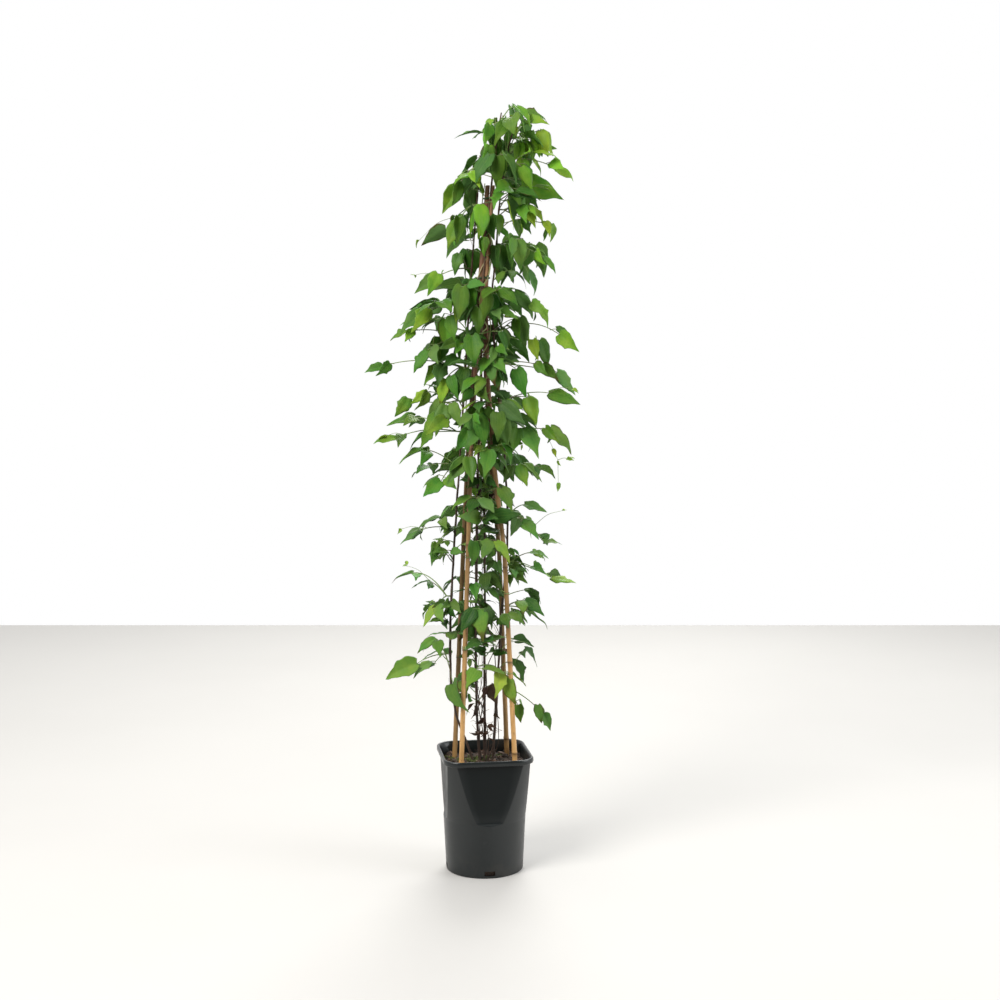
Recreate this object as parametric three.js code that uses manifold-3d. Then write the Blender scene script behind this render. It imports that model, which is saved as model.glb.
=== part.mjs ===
// A young clematis in a square nursery pot, trained up four bamboo canes.
// Millimetres, +Z up. The origin is the centre of the pot's foot, on the surface that it stands on.
// The pot's flat sides face +-X and +-Y. The plant was looked at from a little to the left of the
// pot's front (-Y), so places on the plant are given as seen from there: across to the right, away
// from the eye, and up.

import * as THREE from "three";
import { mergeVertices } from "three/addons/utils/BufferGeometryUtils.js";
import Module from "manifold-3d";

const wasm = await Module();
wasm.setup();

// Pot
const POT_HEIGHT = 200;
const RIM_HALF = 75;
const RIM_REACH = 94;
const RIM_DROP = 9;
const BODY_HALF = 69;
const BODY_REACH = 88;
const FLAT_FOOT = 93;
const FLAT_FOOT_HALF = 66;
const SHOULDER = 90;
const SHOULDER_RADIUS = 69;
const FOOT_RADIUS = 64.5;
const RIM_UNDERCUT = 1.5;
const RIM_ROUNDING = 2;
const BODY_MIDDLE = 140;
const WALL = 1.6;
const FLOOR = 2.5;
const SLOT_WIDTH = 18;
const SLOT_HEIGHT = 8;
const SLOT_FOOT = 4;

// Soil
const SOIL_TOP = 180;
const SOIL_GAP = 0.5;
const SOIL_RELIEF = 2.4;
const SOIL_MOUND = 3;
const SOIL_RINGS = [1, 0.76, 0.52, 0.26];
const HOLE_GAP = 0.35;

// Canes: half their spacing and the shift of their middle to the right, by height
const CANE_FOOT = 105;
const CANE_TOP = 1133;
const CANE_GATHER = [[105, 45.5, 0], [180, 45, 0], [540, 30, -1], [690, 19, -6], [830, 10, -6],
  [957, 5, -3], [1050, 4.2, 4], [1133, 4.1, 10]];
const CANE_RADIUS_FOOT = 4.2;
const CANE_RADIUS_TOP = 3.2;
const CANE_SIDES = 6;
const CANE_KNUCKLES = 6;
const KNUCKLE_RISE = 0.55;
const KNUCKLE_HALF = 5;

// Ties round the gathered canes
const TIE_HEIGHTS = { tie_top: 1112, tie_middle: 985 };
const TIE_RADIUS = 0.9;
const TIE_GAP = 0.45;

// Climbing stems, as [across, away, up]
const STEM_RADIUS_FOOT = 2.3;
const STEM_RADIUS_TOP = 1.2;
const STEM_STEPS = 22;
const STEM_SIDES = 5;
const STEMS = {
  left: [[-15, 6, 150], [-22, 6, 190], [-52, 2, 280], [-57, 0, 400], [-50, -2, 540], [-40, -2, 690],
    [-31, 0, 830], [-23, 0, 957], [-16, -2, 1050], [-9, -7, 1133], [-6, -9, 1180]],
  front: [[-4, -3, 150], [-9, -2, 200], [-14, 0, 300], [-14, -2, 450], [-12, -6, 600], [-9, -19, 700],
    [-5, -26, 780], [-4, -25, 850], [-3, -19, 957], [4, -17, 1050], [12, -18, 1133], [19, -16, 1190],
    [28, -12, 1247]],
  back: [[2, 13, 150], [1, 14, 200], [0, 13, 320], [1, 10, 480], [0, 10, 620], [-3, 15, 720],
    [-5, 24, 800], [-6, 26, 870], [-3, 20, 957], [5, 18, 1050], [12, 19, 1133], [20, 15, 1190],
    [31, 8, 1245]],
  right: [[11, 3, 150], [15, 4, 200], [22, 4, 320], [30, 2, 450], [39, 1, 560], [34, 2, 690],
    [25, 3, 780], [18, 2, 860], [14, 2, 957], [21, 1, 1050], [28, 0, 1133], [37, -4, 1180],
    [46, -8, 1215]],
};

// Leaves
const SEAT_GAP = 0.35;
const STUB_LENGTH = 6;
const PETIOLE_RADII = [1.4, 1.3, 1.2, 1.1, 1];
const PETIOLE_STEPS = 3;
const SIDE_LEAF_THINNING = 0.7;
const PETIOLULE_RADII = [0.5, 0.85];
const BLADE_THICKNESS = 0.7;
const BLADE_WIDTH = 0.62;
const CLEARANCE = 0.5;
const LEAFLET_TRIES = 9;
const STATIONS = [
  { along: 1, turn: 0, stalk: 0 },
  { along: 0.85, turn: 62, stalk: 0.3 },
  { along: 0.77, turn: -62, stalk: 0.3 },
  { along: 0.55, turn: 75, stalk: 0.34 },
];
// Ways for a leaf stalk to bow: how far it rises and sways, as shares of its length
const BOWS = [[0.16, 0], [0.3, 0.16], [0.05, -0.16], [0.34, -0.2], [-0.12, 0.1], [0.45, 0.05]];

// Leafy shoots. Each one grows from a stem at a height and bears compound leaves:
// [across, away, up, leaflets, leaflet length, pitch below level, roll towards the light].
const SHOOTS = [
  { on: "front", at: 1232, leaves: [[46, -12, 1258, 3, 46, 35, 40], [10, -24, 1222, 3, 38, 60, 40]] },
  { on: "right", at: 1208, leaves: [[90, 0, 1218, 3, 50, 55, 60], [62, 28, 1230, 2, 42, 35, 30]] },
  { on: "front", at: 1176, leaves: [[22, -42, 1176, 3, 50, 70, 20], [60, -36, 1160, 2, 46, 60, 30]] },
  { on: "right", at: 1176, leaves: [[116, -8, 1160, 3, 44, 20, 60], [92, -22, 1180, 2, 44, 45, 60]] },
  { on: "right", at: 1146, leaves: [[66, -6, 1138, 1, 66, 20, 80], [62, 26, 1130, 3, 44, 50, 30]] },
  { on: "back", at: 1165, leaves: [[-2, 44, 1180, 3, 44, 50, 30], [44, 54, 1160, 3, 44, 55, 30]] },
  { on: "left", at: 1160, leaves: [[-22, -14, 1152, 3, 42, 30, 30], [-42, -6, 1130, 2, 46, 50, 60]] },
  { on: "left", at: 1100, leaves: [[-64, -12, 1096, 3, 42, 30, 40], [-42, -24, 1074, 3, 46, 70, 50],
    [-62, 18, 1064, 1, 52, 15, 40]] },
  { on: "front", at: 1105, leaves: [[-12, -38, 1096, 3, 58, 75, 15], [36, -36, 1106, 2, 50, 80, 15]] },
  { on: "right", at: 1095, leaves: [[66, -16, 1098, 3, 40, 60, 40], [110, -4, 1072, 3, 34, 75, 50]] },
  { on: "right", at: 1040, leaves: [[56, -26, 1046, 3, 44, 80, 20], [98, 2, 1018, 4, 34, 55, 50],
    [72, 10, 994, 2, 34, 60, 40]] },
  { on: "back", at: 1070, leaves: [[-38, 46, 1066, 2, 46, 50, 30], [42, 52, 1050, 2, 46, 55, 30]] },
  { on: "left", at: 1000, leaves: [[-40, -16, 1024, 1, 36, 50, 50], [-76, -6, 986, 3, 46, 30, 50],
    [-108, -10, 962, 2, 38, 30, 50]] },
  { on: "left", at: 940, leaves: [[-94, -16, 930, 3, 60, 25, 55], [-60, -26, 918, 3, 46, 70, 40]] },
  { on: "front", at: 962, leaves: [[-34, -40, 968, 3, 56, 70, 20], [10, -38, 956, 3, 54, 75, 10]] },
  { on: "back", at: 965, leaves: [[-36, 52, 980, 3, 48, 50, 30], [36, 54, 962, 2, 48, 50, 30]] },
  { on: "left", at: 888, leaves: [[-126, -4, 898, 3, 34, 30, 50], [-92, -14, 868, 3, 48, 40, 50]] },
  { on: "left", at: 840, leaves: [[-166, 0, 842, 2, 34, 30, 60], [-124, 12, 852, 2, 40, 30, 40],
    [-62, -22, 822, 2, 44, 70, 40]] },
  { on: "front", at: 895, leaves: [[-26, -44, 888, 3, 52, 80, 10], [28, -40, 898, 2, 46, 75, 10]] },
  { on: "right", at: 955, leaves: [[50, -14, 962, 2, 46, 50, 50], [84, -6, 944, 3, 46, 40, 50]] },
  { on: "right", at: 895, leaves: [[56, -16, 920, 3, 46, 60, 40], [90, -4, 884, 3, 44, 50, 50],
    [122, -4, 894, 2, 44, 30, 70]] },
  { on: "right", at: 845, leaves: [[94, 0, 842, 3, 34, 30, 60], [120, 10, 832, 1, 50, 45, 40],
    [52, -34, 838, 2, 42, 70, 30]] },
  { on: "front", at: 840, leaves: [[12, -42, 852, 3, 46, 75, 10], [-34, -36, 836, 3, 42, 60, 30]] },
  { on: "back", at: 890, leaves: [[-56, 50, 900, 2, 50, 50, 30], [48, 52, 886, 2, 48, 50, 30]] },
  { on: "left", at: 785, leaves: [[-92, -6, 800, 2, 38, 40, 50], [-124, -4, 790, 1, 40, 75, 60],
    [-62, -24, 780, 3, 50, 60, 40]] },
  { on: "left", at: 735, leaves: [[-116, 10, 758, 3, 44, 15, 20], [-90, -10, 734, 2, 40, 20, 20],
    [-146, 0, 724, 2, 42, 5, 10]] },
  { on: "left", at: 680, leaves: [[-94, -12, 706, 3, 44, 5, 15], [-96, 6, 676, 3, 40, 20, 20],
    [-70, -28, 656, 3, 40, 30, 30]] },
  { on: "front", at: 770, leaves: [[-16, -46, 762, 3, 52, 70, 10], [26, -46, 766, 3, 50, 70, 15]] },
  { on: "front", at: 705, leaves: [[-30, -48, 694, 2, 46, 55, 20], [16, -46, 708, 3, 48, 60, 20]] },
  { on: "right", at: 785, leaves: [[70, -12, 792, 2, 42, 50, 40], [106, 6, 798, 1, 50, 10, 30],
    [112, 18, 764, 3, 26, 20, 40]] },
  { on: "right", at: 730, leaves: [[66, -24, 742, 3, 46, 60, 40], [108, -6, 738, 3, 46, 35, 50],
    [136, 6, 720, 2, 38, 25, 40]] },
  { on: "right", at: 668, leaves: [[56, -24, 682, 3, 42, 50, 30], [92, 20, 676, 2, 34, 30, 30]] },
  { on: "back", at: 800, leaves: [[-54, 54, 800, 2, 46, 45, 30], [48, 56, 790, 2, 46, 45, 30]] },
  { on: "back", at: 700, leaves: [[-48, 54, 700, 3, 46, 40, 30], [50, 54, 690, 3, 46, 40, 30]] },
  { on: "front", at: 630, leaves: [[-12, -44, 628, 3, 44, 30, 20], [28, -46, 646, 2, 40, 40, 20]] },
  { on: "right", at: 604, leaves: [[66, -12, 616, 2, 40, 15, 20], [62, -20, 588, 3, 38, 40, 20],
    [98, 6, 552, 2, 42, 10, 10]] },
  { on: "left", at: 575, leaves: [[-72, -10, 594, 3, 40, 10, 20], [-106, -2, 572, 3, 40, 25, 30],
    [-78, -16, 548, 2, 38, 50, 30]] },
  { on: "front", at: 552, leaves: [[-16, -42, 558, 2, 46, 60, 10], [20, -44, 560, 3, 42, 40, 20]] },
  { on: "right", at: 520, leaves: [[76, -8, 536, 2, 38, 10, 20], [84, -4, 508, 3, 40, 10, 20],
    [112, 8, 492, 2, 40, 10, 15]] },
  { on: "back", at: 600, leaves: [[-46, 52, 604, 3, 42, 30, 20], [50, 50, 590, 3, 42, 30, 20]] },
  { on: "left", at: 462, leaves: [[-90, -6, 488, 2, 32, 15, 20], [-118, 6, 500, 2, 34, 5, 10],
    [-80, -16, 446, 3, 44, 35, 30]] },
  { on: "front", at: 440, leaves: [[-8, -38, 446, 3, 46, 60, 20], [6, -34, 482, 2, 38, 40, 20]] },
  { on: "right", at: 445, leaves: [[66, -8, 456, 3, 42, 20, 20], [74, 10, 434, 2, 42, 35, 20]] },
  { on: "back", at: 480, leaves: [[-44, 50, 486, 3, 42, 30, 20], [46, 50, 470, 2, 42, 30, 20]] },
  { on: "left", at: 365, leaves: [[-80, -8, 392, 3, 40, 30, 30], [-112, -10, 350, 1, 64, 20, 40],
    [-84, 6, 346, 2, 42, 15, 20], [-52, -26, 320, 1, 62, 30, 50]] },
  { on: "front", at: 345, tone: "young", leaves: [[-12, -40, 346, 3, 44, 20, 30],
    [36, -34, 330, 3, 44, 40, 20]] },
  { on: "right", at: 310, leaves: [[68, 6, 372, 2, 34, 30, 20], [56, -18, 282, 2, 34, 75, 40],
    [98, 4, 262, 3, 36, 70, 40]] },
  { on: "back", at: 290, tone: "dry", leaves: [[8, -4, 312, 3, 30, 60, 50], [-14, 22, 270, 2, 22, 50, 40]] },
];

const LOOKS = {
  pot: { color: 0x2b2e30, roughness: 0.42, metalness: 0 },
  soil: { color: 0x33251b, roughness: 0.95, metalness: 0 },
  bamboo: { color: 0xc29255, roughness: 0.6, metalness: 0 },
  wood: { color: 0x2f241b, roughness: 0.85, metalness: 0 },
  tie: { color: 0x2f4a2a, roughness: 0.6, metalness: 0 },
  green: { color: 0x3f7a2c, roughness: 0.55, metalness: 0 },
  young: { color: 0x7cb52a, roughness: 0.5, metalness: 0 },
  dry: { color: 0x5a4330, roughness: 0.85, metalness: 0 },
};

// Frame of the eye, turned from the pot's own
const VIEW_TURN = THREE.MathUtils.degToRad(-8.5);
const RIGHT = new THREE.Vector3(Math.cos(VIEW_TURN), Math.sin(VIEW_TURN), 0);
const AWAY = new THREE.Vector3(-Math.sin(VIEW_TURN), Math.cos(VIEW_TURN), 0);
const UP = new THREE.Vector3(0, 0, 1);

const object = new THREE.Group();

// A point of the plant, from its place as seen
function seen(across, away, up) {
  return UP.clone().multiplyScalar(up).addScaledVector(RIGHT, across).addScaledVector(AWAY, away);
}

// A seeded draw of numbers from 0 to 1
function seeded(seed) {
  let state = seed >>> 0;
  return () => {
    state = (state + 0x6d2b79f5) >>> 0;
    let mixed = Math.imul(state ^ (state >>> 15), state | 1);
    mixed ^= mixed + Math.imul(mixed ^ (mixed >>> 7), mixed | 61);
    return ((mixed ^ (mixed >>> 14)) >>> 0) / 4294967296;
  };
}

// A value read off a list of [key, value, ...] rows, straight between them
function readOff(rows, key, column) {
  let i = 1;
  while (i < rows.length - 1 && rows[i][0] < key) i += 1;
  const share = (key - rows[i - 1][0]) / (rows[i][0] - rows[i - 1][0]);
  return THREE.MathUtils.lerp(rows[i - 1][column], rows[i][column], share);
}

// A closed geometry as a solid
function solidOf(geometry) {
  geometry.deleteAttribute("normal");
  geometry.deleteAttribute("uv");
  const merged = mergeVertices(geometry, 1e-4);
  return new wasm.Manifold(new wasm.Mesh({
    numProp: 3,
    vertProperties: merged.attributes.position.array,
    triVerts: new Uint32Array(merged.index.array),
  }));
}

// A closed skin of triangles as a solid
function skinOf(points, faces) {
  const geometry = new THREE.BufferGeometry().setFromPoints(points);
  geometry.setIndex(faces);
  return solidOf(geometry);
}

// Skin through rings of equally many points; the first and last rings are closed flat
function loft(rings, looped = false) {
  const count = rings[0].length;
  const faces = [];
  const bands = looped ? rings.length : rings.length - 1;
  for (let ring = 0; ring < bands; ring += 1) {
    const next = (ring + 1) % rings.length;
    for (let i = 0; i < count; i += 1) {
      const j = (i + 1) % count;
      faces.push(ring * count + i, ring * count + j, next * count + j);
      faces.push(ring * count + i, next * count + j, next * count + i);
    }
  }
  const last = (rings.length - 1) * count;
  for (let i = 1; i < count - 1 && !looped; i += 1) {
    faces.push(0, i + 1, i);
    faces.push(last, last + i, last + i + 1);
  }
  return skinOf(rings.flat(), faces);
}

// Rings of corners round the points of a path. They follow on from `across` at the path's last point.
function ringsRound(points, radiusAt, sides, across, turn = 0, looped = false) {
  const count = points.length;
  let steady = across;
  const rings = [];
  for (let i = count - 1; i >= 0; i -= 1) {
    const before = points[looped ? (i + count - 1) % count : Math.max(i - 1, 0)];
    const after = points[looped ? (i + 1) % count : Math.min(i + 1, count - 1)];
    const along = after.clone().sub(before).normalize();
    steady = steady.clone().addScaledVector(along, -steady.dot(along)).normalize();
    const side = along.clone().cross(steady);
    rings.unshift(Array.from({ length: sides }, (_, corner) => {
      const angle = turn + (corner / sides) * 2 * Math.PI;
      return points[i].clone()
        .addScaledVector(steady, radiusAt(i) * Math.cos(angle))
        .addScaledVector(side, radiusAt(i) * Math.sin(angle));
    }));
  }
  return rings;
}

// A tube along a path, with its radius at each point
function tube(points, radiusAt, sides, looped = false) {
  const end = points.at(-1).clone().sub(points.at(-2)).normalize();
  const across = Math.abs(end.z) < 0.9 ? UP : RIGHT;
  return loft(ringsRound(points, radiusAt, sides, across, 0, looped), looped);
}

// The pot's outline at a height: half its flat side and its reach at the corners
function potOutline(height) {
  if (height <= SHOULDER) {
    const radius = THREE.MathUtils.lerp(FOOT_RADIUS, SHOULDER_RADIUS, height / SHOULDER);
    return { half: radius, reach: radius, flat: Math.acos(FLAT_FOOT_HALF / potReach(FLAT_FOOT)) };
  }
  const reach = potReach(height);
  const half = height < FLAT_FOOT
    ? readOff([[SHOULDER, SHOULDER_RADIUS], [FLAT_FOOT, FLAT_FOOT_HALF]], height, 1)
    : readOff([[FLAT_FOOT, FLAT_FOOT_HALF], [POT_HEIGHT - RIM_DROP, BODY_HALF]], height, 1);
  return { half, reach, flat: Math.acos(half / reach) };
}

function potReach(height) {
  return readOff([[SHOULDER, SHOULDER_RADIUS], [POT_HEIGHT - RIM_DROP, BODY_REACH]], height, 1);
}

// One ring of a square with rounded corners: flat sides, and arcs of the reach between them
function squareRing({ half, reach, flat }, height, inset = 0) {
  const points = [];
  for (let side = 0; side < 4; side += 1) {
    const middle = (side * Math.PI) / 2;
    const turns = [-flat, 0, flat];
    for (let k = 1; k < 5; k += 1) turns.push(THREE.MathUtils.lerp(flat, Math.PI / 2 - flat, k / 5));
    for (const turn of turns) {
      const far = (turn <= flat + 1e-9 ? Math.min(half / Math.cos(turn), reach) : reach) - inset;
      points.push(new THREE.Vector3(far * Math.cos(middle + turn), far * Math.sin(middle + turn), height));
    }
  }
  return points;
}

function buildPot() {
  const under = POT_HEIGHT - RIM_DROP;
  const rim = { half: RIM_HALF, reach: RIM_REACH, flat: Math.acos(RIM_HALF / RIM_REACH) };
  const outside = [0, SHOULDER, FLAT_FOOT, BODY_MIDDLE, under].map((z) => squareRing(potOutline(z), z));
  const inside = [FLOOR, SHOULDER, FLAT_FOOT, BODY_MIDDLE, SOIL_TOP, under]
    .map((z) => squareRing(potOutline(z), z, WALL));
  const lip = [
    squareRing(rim, under + RIM_UNDERCUT / 3, RIM_UNDERCUT),
    squareRing(rim, under + RIM_ROUNDING),
    squareRing(rim, POT_HEIGHT - RIM_ROUNDING),
    squareRing(rim, POT_HEIGHT, RIM_ROUNDING),
  ];
  const mouth = squareRing(potOutline(under), POT_HEIGHT + 1, -1);
  let pot = loft([...outside, ...lip]).subtract(loft([...inside, mouth]));
  for (let side = 0; side < 4; side += 1) {
    const slot = new THREE.BoxGeometry(20, SLOT_WIDTH, SLOT_HEIGHT);
    slot.translate(FOOT_RADIUS, 0, SLOT_FOOT + SLOT_HEIGHT / 2);
    slot.rotateZ((side * Math.PI) / 2);
    pot = pot.subtract(solidOf(slot));
  }
  return pot;
}

// Lumps of the soil's surface, fading to level at the wall
function soilHeight(x, y) {
  const lumps = Math.sin(x / 8.5 + 1) * Math.cos(y / 10) + 0.6 * Math.sin((x + y) / 5.3);
  const mound = SOIL_MOUND * Math.exp(-(x * x + y * y) / 1400);
  return SOIL_TOP + SOIL_RELIEF * lumps + mound;
}

// The soil fills the pot, with a plain hole for each cane and stem
function buildSoil(holes) {
  const outline = squareRing(potOutline(SOIL_TOP), SOIL_TOP, WALL + SOIL_GAP);
  const sides = [FLOOR + SOIL_GAP, SHOULDER, FLAT_FOOT, BODY_MIDDLE, SOIL_TOP - 4]
    .map((z) => squareRing(potOutline(z), z, WALL + SOIL_GAP));
  const surface = SOIL_RINGS.map((share) => outline.map((point) => {
    const x = point.x * share;
    const y = point.y * share;
    return new THREE.Vector3(x, y, soilHeight(x, y));
  }));
  let soil = loft([...sides, ...surface]);
  for (const hole of holes) soil = soil.subtract(hole);
  return soil;
}

// Canes, one at each corner
function canePoint(corner, height) {
  const spread = readOff(CANE_GATHER, height, 1);
  const lean = readOff(CANE_GATHER, height, 2);
  return new THREE.Vector3(corner[0] * spread, corner[1] * spread, height).addScaledVector(RIGHT, lean);
}

function caneRadius(height) {
  return THREE.MathUtils.mapLinear(height, CANE_FOOT, CANE_TOP, CANE_RADIUS_FOOT, CANE_RADIUS_TOP);
}

// A cane with its knuckles, or with something to spare all round for its hole in the soil
function buildCane(corner, number, spare = 0) {
  const rings = CANE_GATHER.map(([height]) => [height, 0]);
  rings[0][0] -= spare;
  for (let knuckle = 0; knuckle < CANE_KNUCKLES; knuckle += 1) {
    const share = (knuckle + 0.5 + 0.12 * Math.sin(number * 2.4 + knuckle)) / CANE_KNUCKLES;
    const height = THREE.MathUtils.lerp(CANE_FOOT, CANE_TOP, share);
    rings.push([height - KNUCKLE_HALF, 0], [height, KNUCKLE_RISE], [height + KNUCKLE_HALF, 0]);
  }
  rings.sort((a, b) => a[0] - b[0]);
  const points = rings.map(([height]) => canePoint(corner, height));
  return tube(points, (i) => caneRadius(rings[i][0]) + rings[i][1] + spare, CANE_SIDES);
}

// A loop round the four canes, with its two ends twisted together
function buildTie(height) {
  const spread = readOff(CANE_GATHER, height, 1);
  const lean = readOff(CANE_GATHER, height, 2);
  const offset = caneRadius(height) + KNUCKLE_RISE + TIE_GAP + TIE_RADIUS;
  const points = [];
  for (let corner = 0; corner < 4; corner += 1) {
    for (let k = 0; k < 3; k += 1) {
      const angle = ((corner + k / 2) * Math.PI) / 2;
      const middle = ((corner + 0.5) * Math.PI) / 2;
      points.push(new THREE.Vector3(
        Math.SQRT2 * spread * Math.cos(middle) + offset * Math.cos(angle),
        Math.SQRT2 * spread * Math.sin(middle) + offset * Math.sin(angle),
        height,
      ).addScaledVector(RIGHT, lean));
    }
  }
  const knot = points[8].clone().lerp(points[9], 0.5);
  const ends = [0, 7, 13].map((far) => knot.clone().add(new THREE.Vector3(far * 0.4, -far, far * 0.25)));
  return tube(points, () => TIE_RADIUS, 5, true).add(tube(ends, (i) => 1.3 - 0.3 * i, 4));
}

// Climbing stems
function stemPoints(name) {
  const places = STEMS[name].map((place) => seen(...place));
  return new THREE.CatmullRomCurve3(places, false, "catmullrom", 0.5).getPoints(STEM_STEPS);
}

function stemRadius(share) {
  return THREE.MathUtils.lerp(STEM_RADIUS_FOOT, STEM_RADIUS_TOP, share);
}

function buildStem(name, spare = 0) {
  const points = stemPoints(name);
  points[0].z -= spare;
  return tube(points, (i) => stemRadius(i / STEM_STEPS) + spare, STEM_SIDES);
}

// Place, direction and radius of a stem at a height
function stemAt(name, height) {
  const points = stemPoints(name);
  let i = 1;
  while (i < points.length - 1 && points[i].z < height) i += 1;
  const share = (height - points[i - 1].z) / (points[i].z - points[i - 1].z);
  return {
    centre: points[i - 1].clone().lerp(points[i], share),
    along: points[i].clone().sub(points[i - 1]).normalize(),
    radius: stemRadius((i - 1 + share) / STEM_STEPS),
  };
}

// Spots of a leaf blade beyond its root, as shares of its length and half width: two pairs of edge
// points, a point of the midrib between the first pair, and the tip
const BLADE_SPOTS = [[0.3, 1], [0.3, 0], [0.3, -1], [0.68, 0.62], [0.68, -0.62], [1, 0]];
const BLADE_TOP = [[0, 1, 3], [1, 5, 3], [1, 4, 5], [1, 2, 4]];
const BLADE_EDGE = [2, 4, 5, 3, 0];

function bladePoint(leaf, share, out, lift, margin = 0) {
  const { root, along, upper, length, arch, fold } = leaf;
  const side = upper.clone().cross(along);
  const y = out * ((length * BLADE_WIDTH) / 2 + margin);
  const z = lift + fold * Math.abs(y) - arch * length * share * share;
  return root.clone()
    .addScaledVector(along, share * (length + margin))
    .addScaledVector(side, y)
    .addScaledVector(upper, z);
}

// Faces of a blade whose upper root corners, lower root corner and spots are numbered as given
function bladeFaces(left, right, low, top, under) {
  const faces = [left, top + 1, top, right, top + 2, top + 1];
  faces.push(low, under, under + 1, low, under + 1, under + 2);
  for (const [i, j, k] of BLADE_TOP) {
    faces.push(top + i, top + j, top + k, under + i, under + k, under + j);
  }
  BLADE_EDGE.slice(1).forEach((j, n) => {
    const i = BLADE_EDGE[n];
    faces.push(top + i, under + i, under + j, top + i, under + j, top + j);
  });
  faces.push(right, low, under + 2, right, under + 2, top + 2);
  faces.push(top, under, low, top, low, left);
  return faces;
}

// A leaf blade grown from the end of its stalk, as one skin
function buildLeaflet(leaf, path, radiusAt) {
  const side = leaf.upper.clone().cross(leaf.along);
  const ahead = leaf.root.clone().addScaledVector(leaf.along, 3);
  const rings = ringsRound([...path, ahead], radiusAt, 3, side, Math.PI / 6).slice(0, -1);
  const faces = [0, 2, 1];
  for (let ring = 0; ring < rings.length - 1; ring += 1) {
    for (let i = 0; i < 3; i += 1) {
      const [a, b] = [ring * 3 + i, ring * 3 + ((i + 1) % 3)];
      faces.push(a, b, b + 3, a, b + 3, a + 3);
    }
  }
  const root = rings.length * 3 - 3;
  const top = root + 3;
  const under = top + BLADE_SPOTS.length;
  faces.push(root, root + 1, top + 1, ...bladeFaces(root, root + 1, root + 2, top, under));
  const spots = [1, -1].flatMap((face) => BLADE_SPOTS
    .map(([share, out]) => bladePoint(leaf, share, out, (face * BLADE_THICKNESS) / 2)));
  return skinOf([...rings.flat(), ...spots], faces);
}

// The room that a blade takes up, with its clearance
function buildRoom(leaf) {
  const lift = BLADE_THICKNESS / 2 + CLEARANCE + 0.3;
  const spots = [1, -1].flatMap((face) => [[-0.02, 0], ...BLADE_SPOTS]
    .map(([share, out]) => bladePoint(leaf, share, out, face * lift, 1)));
  const under = spots.length / 2;
  const faces = bladeFaces(0, 0, under, 1, under + 1);
  return skinOf(spots, faces);
}

// Things already placed, which new leaves stay clear of
const placed = [];

function remember(solid) {
  const { min, max } = solid.boundingBox();
  placed.push({ solid, min, max });
}

function isClear(solid) {
  const { min, max } = solid.boundingBox();
  return placed.every((other) => {
    if ([0, 1, 2].some((k) => other.min[k] > max[k] || other.max[k] < min[k])) return true;
    const common = solid.intersect(other.solid);
    const apart = common.isEmpty();
    common.delete();
    return apart;
  });
}

// The point at a share of a path's steps
function onPath(path, share) {
  const step = Math.min(Math.floor(share * (path.length - 1)), path.length - 2);
  return path[step].clone().lerp(path[step + 1], share * (path.length - 1) - step);
}

// Where leaflet number `station` of a leaf goes, by its try's draw of numbers
function leafletAt(path, row, station, draw) {
  const [, , , , size, pitch, roll] = row;
  const { along, turn, stalk } = STATIONS[station];
  const out = path.at(-1).clone().sub(path.at(-2)).setZ(0).normalize();
  const yaw = THREE.MathUtils.degToRad(turn + 36 * (draw() - 0.5));
  const heading = out.clone().applyAxisAngle(UP, yaw);
  const drop = THREE.MathUtils.degToRad(pitch + 30 * (draw() - 0.5));
  const length = size * (0.84 + 0.3 * draw()) * (stalk ? 0.9 : 1);
  const stalkLength = stalk * size;
  const foot = onPath(path, along);
  const root = foot.clone()
    .addScaledVector(heading, 0.95 * stalkLength)
    .addScaledVector(UP, 0.12 * stalkLength);
  const blade = heading.clone().multiplyScalar(Math.cos(drop)).addScaledVector(UP, -Math.sin(drop));
  const flat = heading.clone().multiplyScalar(Math.sin(drop)).addScaledVector(UP, Math.cos(drop));
  const front = root.dot(AWAY) < 12 ? -1 : 1;
  const towards = Math.sign(flat.clone().cross(blade).dot(AWAY) * front) || 1;
  const bank = THREE.MathUtils.degToRad(towards * roll + 44 * (draw() - 0.5));
  const upper = flat.applyAxisAngle(blade, -bank);
  const arch = 0.08 + 0.2 * draw();
  const fold = 0.08 + 0.3 * draw();
  return { foot, root, along: blade, upper, length, arch, fold };
}

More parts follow.
